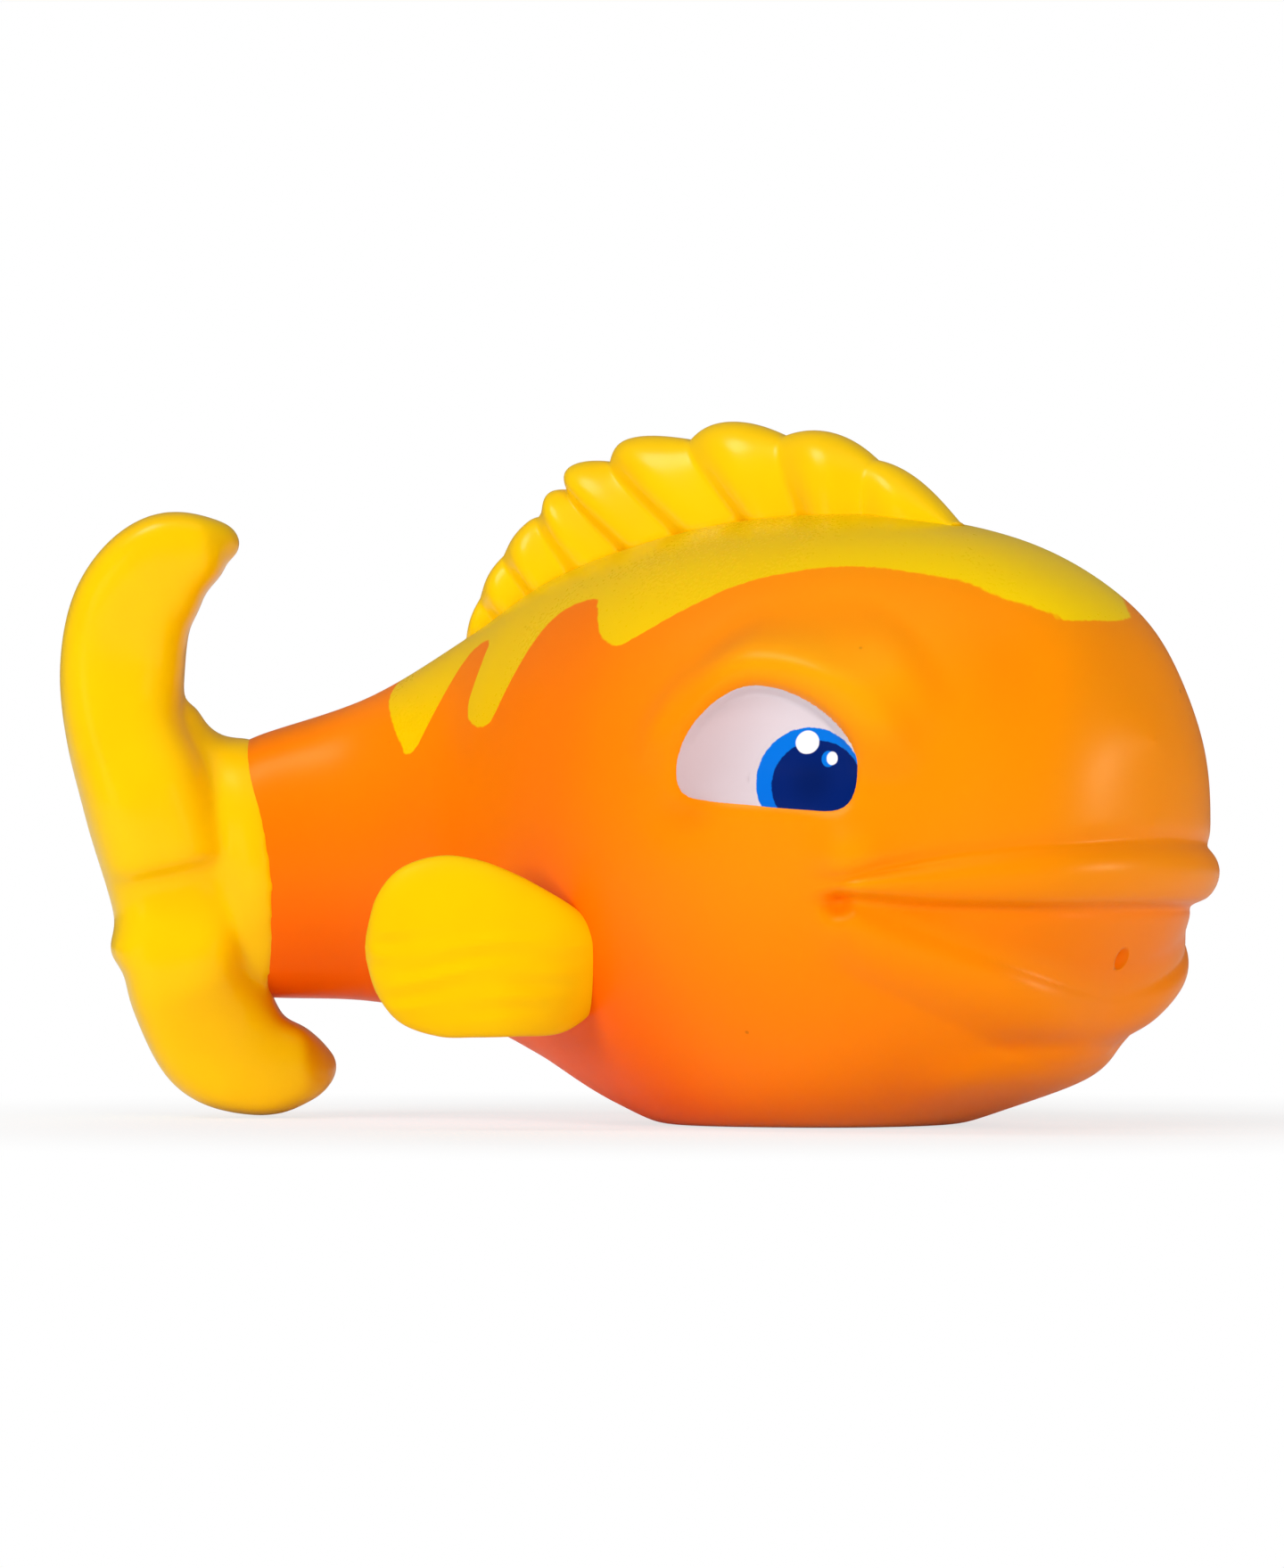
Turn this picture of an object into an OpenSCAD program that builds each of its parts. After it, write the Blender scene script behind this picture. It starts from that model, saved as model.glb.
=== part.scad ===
// Squeaky bath fish: hollow soft body with plugged-in fins, set-in eyes and a reed squeaker in the belly.
// Millimetres. +X is forward, +Y is the fish's left, +Z is up.
// The origin is on the flat foot, and z = 0 is the floor.

/* [Body] */
// Length of the body along its spine, from the nose to the tail joint
body_len = 90; // [80:1:105]
// Width of the head at the cheeks
body_w = 52.4; // [46:0.2:60]
// Height of the back above the floor
body_h = 52.6; // [48:0.2:60]
// Wall of the hollow body
wall_t = 2.4; // [1.8:0.1:3]
// Floor of the body over the flat foot
foot_t = 3.2; // [2.6:0.1:4]
// Swing of the spine to the right at the tail joint, in degrees
tail_swing = 37; // [10:1:45]
// Length of the bent part of the spine
swing_len = 38; // [32:1:44]
// Half of the length over which the bend comes in
bend_soft = 12; // [6:1:14]

/* [Face] */
// Height of the upper lip's crest
upper_lip_z = 21.8; // [20:0.1:23.5]
// Height of the lower lip's edge at the front
lower_lip_z = 9.8; // [9:0.1:11]
// Height of the mouth corners
mouth_corner_z = 19; // [18:0.1:20]
// Turn from the front to a mouth corner, in degrees
mouth_turn = 63; // [56:1:68]
// How far the upper lip stands out
upper_lip_out = 1.3; // [0.8:0.1:1.8]
// How far the lower lip stands out
lower_lip_out = 0.9; // [0.5:0.1:1.4]
// Depth of the mouth between the lips
mouth_in = 0.7; // [0.4:0.1:1.1]
// How far the cheek stands out above a mouth corner
cheek_out = 0.9; // [0.4:0.1:1.4]
// How far the brow stands out over the eye
brow_out = 2; // [1.2:0.1:2.6]
// Bore of the squirt hole
squirt_d = 1.8; // [1.2:0.1:2.6]
// Height of the squirt hole
squirt_z = 14.6; // [13:0.1:16]

/* [Eyes] */
// Height of the eye's centre
eye_z = 32; // [30:0.1:34]
// Turn from the front to the eye's centre, in degrees
eye_turn = 76; // [70:1:82]
// Length of the eye
eye_len = 17.1; // [14:0.1:19]
// Height of the eye's arch above its centre
eye_up = 5.6; // [4.5:0.1:7]
// Depth of the lower lid below its centre
eye_down = 4.4; // [3.5:0.1:5.2]
// Thickness of the eye piece
eye_t = 1.2; // [0.8:0.1:1.5]
// Radius of the eye's ball
eye_ball_r = 20; // [17:0.5:24]
// Clearance round the eye in its pocket
eye_gap = 0.12; // [0.05:0.01:0.2]

/* [Dorsal fin] */
// Front end of the dorsal fin on the spine
dorsal_front = 12; // [8:0.5:15]
// Rear end of the dorsal fin on the spine
dorsal_rear = -39; // [-42:0.5:-35]
// Height of the tallest lobe above the back
dorsal_h = 10.4; // [7:0.1:12]
// Thickness of the dorsal fin
dorsal_t = 8; // [6.6:0.1:9]

/* [Side fins] */
// Length of a side fin from its root
side_len = 19.5; // [16:0.5:22]
// Height of a side fin
side_h = 15.6; // [13:0.2:18]
// Thickness of a side fin
side_t = 4.8; // [3.6:0.1:6]
// Height of the side fin's middle
side_z = 15.4; // [14:0.1:17]
// Place of the side fin's root along the body
side_x = -9; // [-12:0.5:-7]
// Turn of a side fin out from the body, in degrees
side_flare = 30; // [18:1:36]

/* [Tail fin] */
// Height of the tail fin's upper tip
tail_top = 52.6; // [48:0.1:56]
// Height of the tail fin's lowest point
tail_bottom = 0.6; // [0.4:0.1:4]
// Thickness of the tail fin's lobes
tail_t = 9; // [7:0.1:10]
// Length of the collar on the stem
collar_len = 5; // [3.5:0.1:7]
// Diameter of the stem's spigot in the tail fin
spigot_d = 8; // [6:0.1:9.5]
// Length of the spigot
spigot_len = 6; // [4:0.1:7]

/* [Plugs] */
// Diameter of a fin's plug
plug_d = 4; // [3:0.1:5]
// Diameter of a plug's head inside the body
plug_head_d = 5.4; // [4.6:0.1:6.4]
// Free length of a plug between the wall and its head
plug_play = 0.8; // [0.6:0.1:1.4]
// Clearance of a plug or spigot in its bore, on the radius
plug_gap = 0.15; // [0.1:0.01:0.3]
// Gap between a fin and the body that it sits on
seat_gap = 0.2; // [0.12:0.01:0.3]

/* [Squeaker] */
// Place of the squeaker along the foot
squeaker_x = -9; // [-10:0.5:-8]
// Outer diameter of the squeaker's flange
flange_d = 13; // [11.5:0.1:14]
// Thickness of the flange
flange_t = 1; // [0.8:0.1:1.2]
// Recess of the flange above the floor
flange_recess = 0.4; // [0.3:0.1:0.6]
// Diameter of the squeaker's tube
tube_d = 9.4; // [8.8:0.1:10]
// Bore of the tube
tube_bore = 7; // [6.4:0.1:7.4]
// Length of the tube above the flange
tube_len = 12; // [11:0.1:14]
// Barb that holds the tube in the body, on the radius
barb_out = 0.7; // [0.4:0.1:0.9]
// Clearance of the tube in the body, on the radius
tube_gap = 0.15; // [0.1:0.01:0.3]
// Thickness of the grille
grille_t = 1.2; // [1:0.1:1.6]
// Diameter of a grille hole
grille_hole_d = 1.3; // [0.8:0.1:1.6]
// Number of holes round the grille
grille_holes = 6; // [4:1:6]
// Length of the reed block
reed_block_len = 8.4; // [7.5:0.1:9]
// Width of the air slot under the reed
slot_w = 2; // [1.4:0.1:2.4]
// Width of the reed
reed_w = 3; // [2.6:0.1:3.4]
// Thickness of the reed
reed_t = 0.2; // [0.15:0.01:0.3]
// Opening of the reed over its slot
reed_open = 0.4; // [0.3:0.05:0.6]
// Length of the wedge that holds the reed
wedge_len = 2.6; // [2:0.1:3.2]

/* [Hidden] */

// Sections of the body at its normal size, from the nose back:
// place on the spine, half width, top, bottom, height of the widest point
sections = [
    [32, 0.8, 33, 26, 29],
    [31, 8, 37, 19.6, 28],
    [28.3, 14, 43.2, 12.4, 26.5],
    [23.5, 19, 47.5, 6.2, 25.5],
    [15, 23.8, 51, 2, 24.5],
    [4, 26.2, 52.6, -1.4, 24],
    [-8, 25.6, 52.4, -2.4, 23.5],
    [-19, 22.6, 50.6, 0.6, 23],
    [-29, 18.2, 47.6, 5, 23],
    [-38, 13.6, 43.2, 8.4, 23],
    [-48, 9.8, 37.1, 10.2, 22.7],
    [-58, 8, 33.7, 10.6, 22.4],
];
rows = len(sections);
stretch = [body_len / 90, body_w / 52.4, body_h / 52.6, body_h / 52.6, body_h / 52.6];
round_n = 2.2;
nose_x = 32 * stretch[0];
joint_x = nose_x - body_len;
bend_x = joint_x + swing_len;
bend_r = swing_len / (tail_swing * PI / 180);
head_x = 4;
eps = 0.01;

// Section number i, with one more past each end so that the curve leaves the nose squarely
function section(i) =
    i < 0 ? [sections[1][0], -sections[1][1], sections[1][2], sections[1][3], sections[1][4]]
    : i >= rows ? 2 * sections[rows - 1] - sections[rows - 2]
    : sections[i];

// Smooth curve through four values, t from 0 to 1 between the middle two
function through(a, b, c, d, t) =
    0.5 * (2 * b + (c - a) * t + (2 * a - 5 * b + 4 * c - d) * t * t + (3 * b - a - 3 * c + d) * t * t * t);

function raw_form(t) =
    let (i = min(floor(t), rows - 2))
    through(section(i - 1), section(i), section(i + 1), section(i + 2), t - i);

// Body section at t, stretched to the sizes that are set
function form(t) = let (f = raw_form(t)) [for (k = [0:4]) f[k] * stretch[k]];

// The t whose section lies at x on the spine
function find_t(x, lo = 0, hi = rows - 1, n = 22) =
    n == 0 ? (lo + hi) / 2
    : let (mid = (lo + hi) / 2)
      form(mid)[0] > x ? find_t(x, mid, hi, n - 1) : find_t(x, lo, mid, n - 1);

// Half width of a section at a level from -1 at the bottom to 1 at the top
function half_width(f, level) = f[1] * pow(max(1 - pow(abs(level), round_n), 0), 1 / round_n);

function level_z(f, level) = f[4] + level * (level > 0 ? f[2] - f[4] : f[4] - f[3]);

function z_level(f, z) = z > f[4] ? (z - f[4]) / (f[2] - f[4]) : (z - f[4]) / (f[4] - f[3]);

// Half width of the plain body at x on the spine and height z
function flank(x, z) = let (f = form(find_t(x))) half_width(f, max(-1, min(1, z_level(f, z))));

function back_z(x) = form(find_t(x))[2];

// Turn of the spine at x, in degrees: it comes in as a square over twice bend_soft and goes on as an arc
function spine_turn(x) =
    let (s = bend_x + bend_soft - x)
    180 / PI * (s <= 0 ? 0 : s < 2 * bend_soft ? s * s / (4 * bend_soft * bend_r) : (bend_x - x) / bend_r);

// Point of the bent spine, seen from above
function spine(x) =
    let (s = bend_x + bend_soft - x,
         a = spine_turn(x),
         a1 = bend_soft / bend_r)
    s <= 0 ? [x, 0]
    : s < 2 * bend_soft
    ? [x + pow(s, 5) / (160 * pow(bend_soft * bend_r, 2)), -pow(s, 3) / (12 * bend_soft * bend_r)]
    : [bend_x - bend_soft + 0.2 * bend_soft * a1 * a1 - bend_r * (sin(a) - sin(a1 * 180 / PI)),
       -2 / 3 * bend_soft * a1 + bend_r * (cos(a) - cos(a1 * 180 / PI))];

// The straight body's point p, carried round the bend of the tail
function bend(p) =
    let (m = spine(p[0]), a = spine_turn(p[0]))
    [m[0] - p[1] * sin(a), m[1] + p[1] * cos(a), p[2]];

function bump(d, s) = exp(-pow(d / s, 2));

function ease(t) = let (c = max(0, min(1, t))) c * c * (3 - 2 * c);

// Height of the lower lip's edge, turned a degrees from the front
function lower_edge(a) = lower_lip_z + (mouth_corner_z - lower_lip_z) * pow(min(a / mouth_turn, 1), 1.7);

function upper_crest(a) = upper_lip_z - 1.2 * pow(min(a / mouth_turn, 1.1), 2);

// Lips, mouth and chin, turned a degrees from the front at height z
function mouth_form(a, z) =
    let (along = min(a / mouth_turn, 1.15),
         fade = 1 - ease((along - 0.9) / 0.22),
         front = 1 - ease((a - 28) / 22),
         low = lower_edge(a),
         up = z - upper_crest(a),
         thin = 1 - 0.4 * along * along)
    fade * (upper_lip_out * bump(up, (up > 0 ? 1.9 : 1.5) * thin)
            - mouth_in * ease((-up - 1.6 * thin) / 1.4) * ease((z - low - 0.2) / 3)
            + lower_lip_out * bump(z - low + 2, 2.2))
    + front * (1.2 * bump(z - 4.4, 1.9) - 0.6 * bump(z - 7.4 - 1.2 * pow(a / 30, 2), 1));

// Distance round the head from the eye's centre, forward, and its height above the centre
function from_eye(a, z) = [(eye_turn - a) * PI / 180 * body_w / 2, z - eye_z];

// The eye's rounded outline: 1 on it and less inside it.
// It is longer in front of its peak than behind, and rounder above its base line than below.
eye_peak = -0.14 * eye_len;
eye_base = -1.2;
function eye_reach(ex) = (ex > eye_peak ? 0.58 : 0.42) * eye_len;
function eye_rise(ex, ez) = ez > eye_base ? eye_up - eye_base : ex > eye_peak ? 7 : 5.6;
function eye_arch(ex, ez) =
    let (n = ez > eye_base ? 1.8 : 2.4)
    pow(pow(abs(ex - eye_peak) / eye_reach(ex), n) + pow(abs(ez - eye_base) / eye_rise(ex, ez), n), 1 / n);

function lower_lid(ex) = -eye_down - 0.08 * ex;

// How far a place lies outside the eye, in millimetres; inside it is negative
function eye_edge(ex, ez) =
    let (r = eye_arch(ex, ez),
         slope = norm([eye_arch(ex + 0.05, ez) - r, eye_arch(ex, ez + 0.05) - r]) / 0.05)
    max((r - 1) / max(slope, 0.08), lower_lid(ex) - ez);

// Brow over the eye with its swelling in front, and the cheek and dimple at the mouth corner
function brow_form(a, z) =
    let (e = from_eye(a, z),
         d = eye_edge(e[0], e[1]),
         fore = ease((e[0] + 8) / 16),
         crest = 2 + 1.8 * fore,
         rise = d < crest ? ease((d + 0.4) / (crest + 0.4)) : bump(d - crest, 1.6 + fore),
         over = ease((e[1] + 4) / 6) * (0.4 + 0.6 * ease((e[0] + 9) / 12)))
    brow_out * over * rise
    + 1.5 * bump(norm([(e[0] - 14) / 3.6, (e[1] - 5.5) / 4.5]), 1)
    - 0.4 * ease(-d / 3)
    + cheek_out * bump(norm([e[0] - 7.6, z - mouth_corner_z - 4.4]), 4)
    - 1.1 * bump(norm([e[0] - 5.4, z - mouth_corner_z - 0.4]), 1.5);

// Point of the straight body with the face's forms, pushed out from the head's upright axis
function faced(p) =
    let (r = norm([p[0] - head_x, p[1]]))
    p[0] < head_x - 14 || r < 1 ? p
    : let (a = atan2(abs(p[1]), p[0] - head_x),
           d = (mouth_form(a, p[2]) + brow_form(a, p[2])) * ease((p[0] - head_x + 14) / 10))
      p + d / r * [p[0] - head_x, p[1], 0];

levels = concat([-1, -0.995, -0.98, -0.95, -0.91, -0.86], [for (i = [0:15]) -0.8 + 0.05 * i],
                [for (i = [0:10]) sin(90 * i / 10)]);
ring = concat([for (l = levels) [1, l]], [for (i = [len(levels) - 2:-1:1]) [-1, levels[i]]]);
stations = concat([for (i = [0:29]) i / 6], [for (i = [15:33]) i / 3]);

function body_point(t, side, level) =
    let (f = form(t))
    bend(faced([f[0], side * half_width(f, level), level_z(f, level)]));

// Faces of a skin over n rings of m points each, with a flat cap on the rings that ask for one.
// From point flip of a ring on, the other diagonal is used, so that the two sides of the body mirror.
function skin(n, m, first_cap, last_cap, flip = 1000) =
    concat(
        [for (i = [0:n - 2], j = [0:m - 1])
            let (k = (j + 1) % m)
            [i * m + j, j < flip ? (i + 1) * m + k : i * m + k, (i + 1) * m + j]],
        [for (i = [0:n - 2], j = [0:m - 1])
            let (k = (j + 1) % m)
            [j < flip ? i * m + j : (i + 1) * m + j, i * m + k, (i + 1) * m + k]],
        first_cap ? [for (j = [1:m - 2]) [0, j + 1, j]] : [],
        last_cap ? [for (j = [1:m - 2]) [(n - 1) * m, (n - 1) * m + j, (n - 1) * m + j + 1]] : []);

module body_skin() {
    points = [for (t = stations, r = ring) body_point(t, r[0], r[1])];
    polyhedron(points, skin(len(stations), len(ring), true, true, len(levels) - 1));
}

// The hollow inside the wall, plain and with a flat floor
function hollow_point(t, side, level) =
    let (f = form(t),
         g = [f[0] * (1 - wall_t / nose_x) + (f[0] < 0 ? 2.2 * wall_t * f[0] / joint_x : 0),
              max(f[1] - wall_t, 0.5), f[2] - wall_t, f[3] + wall_t, f[4]])
    bend([g[0], side * half_width(g, level), max(level_z(g, level), foot_t)]);

module body_hollow() {
    hollow_levels = [for (i = [0:12]) -cos(180 * i / 12)];
    hollow_ring = concat([for (l = hollow_levels) [1, l]], [for (i = [11:-1:1]) [-1, hollow_levels[i]]]);
    hollow_stations = concat([for (i = [0:7]) i / 2], [for (i = [4:rows - 1]) i]);
    points = [for (t = hollow_stations, r = hollow_ring) hollow_point(t, r[0], r[1])];
    polyhedron(points, skin(len(hollow_stations), len(hollow_ring), true, true));
}

// Fin plug along -Z from the origin: a stem through the wall and a head that holds behind it.
// The stem reaches root into the fin.
module plug(root) {
    mirror([0, 0, 1]) {
        translate([0, 0, -root]) cylinder(d = plug_d, h = wall_t + plug_play + root, $fn = 32);
        translate([0, 0, wall_t + plug_play]) cylinder(d1 = plug_head_d, d2 = plug_d - 1, h = 2.4, $fn = 32);
    }
}

// Bore for a fin plug, with a flat seat for the plug's head on the inner wall
module plug_bore() {
    seat = seat_gap + plug_gap - wall_t - plug_play;
    translate([0, 0, -wall_t - 6]) cylinder(d = plug_d + 2 * plug_gap, h = wall_t + 10, $fn = 32);
    translate([0, 0, seat - 5]) cylinder(d = plug_head_d + 2 * plug_gap, h = 5, $fn = 32);
}

// Places of the dorsal fin's plugs on the spine
dorsal_plugs = [dorsal_front - 10, dorsal_front - 28];

module at_back(x) {
    p = bend([x, 0, back_z(x)]);
    translate(p) children();
}

// Place of the side fin's plug along the body
side_plug_x = side_x - plug_d;

// Frame on the right flank at the side fin's plug, with +Z straight out of the body
module at_flank() {
    p = [side_plug_x, -flank(side_plug_x, side_z), side_z];
    translate(p) rotate([90, 0, 0]) children();
}

// Frame at the tail joint, with +X back along the stem
module at_joint() {
    translate(bend([joint_x, 0, 0])) rotate([0, 0, 180 + tail_swing]) children();
}

spigot_z = 22.4 * stretch[2];

module spigot(gap) {
    at_joint() translate([-2, 0, spigot_z]) rotate([0, 90, 0])
        cylinder(d = spigot_d + 2 * gap, h = spigot_len + 2 + gap, $fn = 48);
}

// The eye's outline, cut off below by a slightly sloping lower lid
function eye_outline(gap) =
    [for (i = [0:59])
        let (c = cos(6 * i),
             s = sin(6 * i + eps),
             n = s > 0 ? 1.8 : 2.4,
             wide = eye_reach(eye_peak + c) + gap,
             high = eye_rise(eye_peak + c, eye_base + s) + gap,
             x = eye_peak + wide * sign(c) * pow(abs(c), 2 / n),
             y = eye_base + high * sign(s) * pow(abs(s), 2 / n))
        [x, max(y, lower_lid(x) - gap)]];

// Frame at the right eye, with +X forward along the face, +Y up and +Z out
module at_eye() {
    lean = 90 - eye_turn;
    x = head_x + body_w / 2 * cos(eye_turn) * 1.06;
    y = -flank(x, eye_z);
    translate([x, y, eye_z]) rotate([90, 0, lean]) children();
}

// Ball of the eye, r its radius, through a point just proud of the head
module eye_ball(r) {
    translate([0, 0, 0.2 - eye_ball_r]) sphere(r = r, $fn = 48);
}

module eye() {
    difference() {
        intersection() {
            eye_ball(eye_ball_r);
            translate([0, 0, -4]) linear_extrude(height = 8) polygon(eye_outline(0));
        }
        eye_ball(eye_ball_r - eye_t);
    }
}

module eye_pocket() {
    difference() {
        translate([0, 0, -4]) linear_extrude(height = 9) polygon(eye_outline(eye_gap));
        eye_ball(eye_ball_r - eye_t - eye_gap);
    }
}

module both_sides() {
    children();
    mirror([0, 1, 0]) children();
}

module body_shell() {
    color([1, 0.5, 0.02]) difference() {
        union() {
            difference() {
                body_skin();
                body_hollow();
            }
            spigot(0);
        }
        translate([-60, -60, -20]) cube([120, 120, 20]);
        both_sides() at_eye() eye_pocket();
        both_sides() at_flank() plug_bore();
        for (x = dorsal_plugs) at_back(x) plug_bore();
        translate([nose_x - 20, 0, squirt_z]) rotate([0, 90, 0])
            cylinder(d = squirt_d, h = 30, $fn = 32);
        translate([squeaker_x, 0, -1]) cylinder(d = tube_d + 2 * tube_gap, h = foot_t + 4, $fn = 64);
        translate([squeaker_x, 0, -1])
            cylinder(d = flange_d + 0.4, h = flange_recess + flange_t + 1, $fn = 64);
    }
}

// Ends of the dorsal fin's lobes from the rear, as shares of its length
lobe_ends = [0, 0.065, 0.138, 0.22, 0.334, 0.45, 0.587, 0.703, 0.833, 1];
lobe_steps = 6;

// Height of the fin over the back at u, without the lobes
function dorsal_rise(u) = dorsal_h * pow(sin(180 * pow(u, 0.95)), u < 0.48 ? 1 : 0.8);

// How far the lobes lean back as they rise
function dorsal_lean(u) = (0.65 + 0.35 * ease((u - 0.2) / 0.13)) * (1 - 0.9 * ease((u - 0.5) / 0.36));

dorsal_arc = [for (i = [0:12]) 15 * i - 90];

// Point of the dorsal fin: lobe k, share of the lobe's length, and angle a over its section
function dorsal_point(k, share, a) =
    let (u = max(0.004, min(0.992, lobe_ends[k] + (lobe_ends[k + 1] - lobe_ends[k]) * share)),
         full = pow(0.5 - 0.5 * cos(360 * share), 0.7),
         rise = dorsal_rise(u),
         h = max(0.6, rise * (0.87 + 0.13 * pow(full, 0.7))) * pow(max(0, cos(a)), 0.6),
         t = max(0.5, dorsal_t / 2 * (0.7 + 0.3 * full) * min(1, rise / dorsal_h + 0.35)),
         x = dorsal_rear + (dorsal_front - dorsal_rear) * u - dorsal_lean(u) * h)
    bend([x, t * sign(a) * pow(abs(sin(a)), 0.85), back_z(x) + seat_gap + h]);

module dorsal_fin() {
    last = len(lobe_ends) - 2;
    places = concat([for (k = [0:last], i = [0:lobe_steps - 1]) [k, i / lobe_steps]], [[last, 1]]);
    points = [for (p = places, a = dorsal_arc) dorsal_point(p[0], p[1], a)];
    color([1, 0.82, 0]) union() {
        polyhedron(points, skin(len(places), len(dorsal_arc), true, true));
        for (x = dorsal_plugs) at_back(x) translate([0, 0, seat_gap]) plug(1);
    }
}

// Side fin from its root to its tip: shares of its length, height above and below its middle, and thickness
side_rows = [[0, 0.1, 0.45, 0.5], [0.06, 0.32, 0.8, 0.75], [0.16, 0.56, 0.93, 0.9], [0.3, 0.8, 0.97, 1],
             [0.48, 0.96, 1, 1], [0.66, 1, 0.99, 0.97], [0.84, 0.86, 0.84, 0.85], [0.95, 0.55, 0.52, 0.6],
             [1, 0.12, 0.12, 0.2]];

function side_row(t) =
    let (i = min(floor(t), len(side_rows) - 2),
         a = side_rows[max(i - 1, 0)],
         d = side_rows[min(i + 2, len(side_rows) - 1)])
    through(a, side_rows[i], side_rows[i + 1], d, t - i);

// Point of the right side fin: t along its rows, angle a round its section; its root follows the flank
function side_point(t, a) =
    let (r = side_row(t),
         up = side_h / 2 * (sin(a) > 0 ? r[1] : r[2]) * sin(a),
         out = side_t / 2 * r[3] * cos(a),
         along = side_len * r[0],
         z = side_z + up,
         x = side_x - along * cos(side_flare) + out * sin(side_flare),
         y = flank(side_x, side_z) + along * sin(side_flare) + out * cos(side_flare) + side_t / 4)
    [x, -max(y - (t == 0 ? 10 : 0), flank(x, z) + seat_gap), z];

module side_fin() {
    ts = [for (i = [0:2 * (len(side_rows) - 1)]) i / 2];
    angles = [for (i = [0:19]) -18 * i];
    points = [for (t = ts, a = angles) side_point(t, a)];
    union() {
        polyhedron(points, skin(len(ts), len(angles), true, true));
        at_flank() translate([0, 0, seat_gap]) plug(0.7 * side_t);
    }
}

// Tail fin from its upper tip to its lower one: place behind the joint, height, half width
tail_rows = [[1.3, 50.5, 0.6], [3.6, 50.6, 3], [8, 49.4, 4.7], [11.3, 45.2, 5.4], [12.4, 39.8, 5.5],
             [12, 34, 5.4], [10.4, 27.5, 5.5], [8.3, 20.6, 5.2], [7.3, 15.8, 6.3], [5.9, 11, 6.4],
             [3.3, 6.6, 6.4], [-0.6, 5, 5.2], [-4.2, 4.5, 3.4], [-6.7, 4.9, 0.5]];

function tail_row(t) =
    let (i = min(floor(t), len(tail_rows) - 2),
         a = tail_rows[max(i - 1, 0)],
         d = tail_rows[min(i + 2, len(tail_rows) - 1)])
    through(a, tail_rows[i], tail_rows[i + 1], d, t - i);

// Height on the tail fin, drawn from 0.6 to 52.8, set between its two ends
function tail_height(z) = tail_bottom + (z - 0.6) / 52.2 * (tail_top - tail_bottom);

// The lobes thicken towards the root between them
function tail_thick(z, half) =
    let (root = z > 24 ? bump(z - 24, 11) : bump(max(0, 16 - z), 7))
    min(tail_t / 2 * (1 + 0.9 * root), 1.5 * half);

// Point of the tail fin's crescent: t along its rows, angle a round its section.
// Its face steps in under the upper lobe.
function tail_point(t, a) =
    let (r = tail_row(t),
         d = tail_row(min(t + 0.05, len(tail_rows) - 1)) - tail_row(max(t - 0.05, 0)),
         across = sign(cos(a)) * pow(abs(cos(a)), 0.62) * r[2],
         lie = [-d[1], d[0]] / norm([d[0], d[1]]) * across,
         z = r[1] + lie[1],
         brink = 22.4 - 0.22 * across,
         step = 1 - 0.2 * ease((brink - z) / 1.6) * ease((z - brink + 10) / 8),
         out = sign(sin(a)) * pow(abs(sin(a)), 0.62) * tail_thick(r[1], r[2]) * step,
         curl = 3.5 * pow((r[1] - spigot_z) / 28, 2))
    [r[0] + lie[0], out + curl, tail_height(z)];

// Collar over the stem's end: place behind the joint, half width, top, bottom
collar_rows = [[0, 8.3, 33.7, 10.3], [0.32, 8.4, 33.8, 10.1], [0.6, 7.6, 34.4, 10.4], [0.88, 6.4, 35.7, 11.2],
               [1.16, 5.2, 38, 12.5], [1.7, 4, 37, 16]];

function collar_point(r, a) =
    let (mid = (r[2] + r[3]) / 2)
    [seat_gap + r[0] * collar_len, r[1] * cos(a), mid + (r[2] - r[3]) / 2 * sin(a)];

module tail_crescent() {
    ts = [for (i = [0:3 * (len(tail_rows) - 1)]) i / 3];
    angles = [for (i = [0:23]) 15 * i];
    points = [for (t = ts, a = angles) tail_point(t, a)];
    polyhedron(points, skin(len(ts), len(angles), true, true));
}

module tail_collar() {
    angles = [for (i = [0:31]) -11.25 * i];
    points = [for (r = collar_rows, a = angles) collar_point(r, a)];
    polyhedron(points, skin(len(collar_rows), len(angles), true, true));
}

module tail_fin() {
    color([1, 0.82, 0]) difference() {
        at_joint() union() {
            tail_crescent();
            tail_collar();
        }
        spigot(plug_gap);
        at_joint() translate([seat_gap - 20, -20, collar_rows[0][3]]) cube([20, 40, 60]);
    }
}

module right_side_fin() {
    color([1, 0.8, 0]) side_fin();
}

module left_side_fin() {
    color([1, 0.8, 0]) mirror([0, 1, 0]) side_fin();
}

module right_eye() {
    color([0.93, 0.92, 0.94]) at_eye() eye();
}

module left_eye() {
    color([0.93, 0.92, 0.94]) mirror([0, 1, 0]) at_eye() eye();
}

// Heights in the squeaker
flange_top = flange_recess + flange_t;
grille_z = flange_recess + 0.1;
block_z = grille_z + grille_t + 0.4;
reed_gap = 0.3;
wedge_top = block_z + wedge_len;
fit_gap = 0.06;
grille_d = tube_bore + 1;

module at_squeaker() {
    translate([squeaker_x, 0, 0]) children();
}

module squeaker_case() {
    color([0.93, 0.93, 0.9]) at_squeaker() difference() {
        union() {
            translate([0, 0, flange_recess]) cylinder(d = flange_d, h = flange_t, $fn = 64);
            translate([0, 0, flange_recess]) cylinder(d = tube_d, h = flange_t + tube_len, $fn = 64);
            translate([0, 0, foot_t + 0.1])
                cylinder(r1 = tube_d / 2 + barb_out, r2 = tube_d / 2, h = 2, $fn = 64);
        }
        translate([0, 0, -1]) cylinder(d = tube_bore, h = tube_len + 10, $fn = 64);
        translate([0, 0, -1]) cylinder(d = grille_d + 2 * fit_gap, h = grille_z + grille_t + 1, $fn = 64);
    }
}

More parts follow.
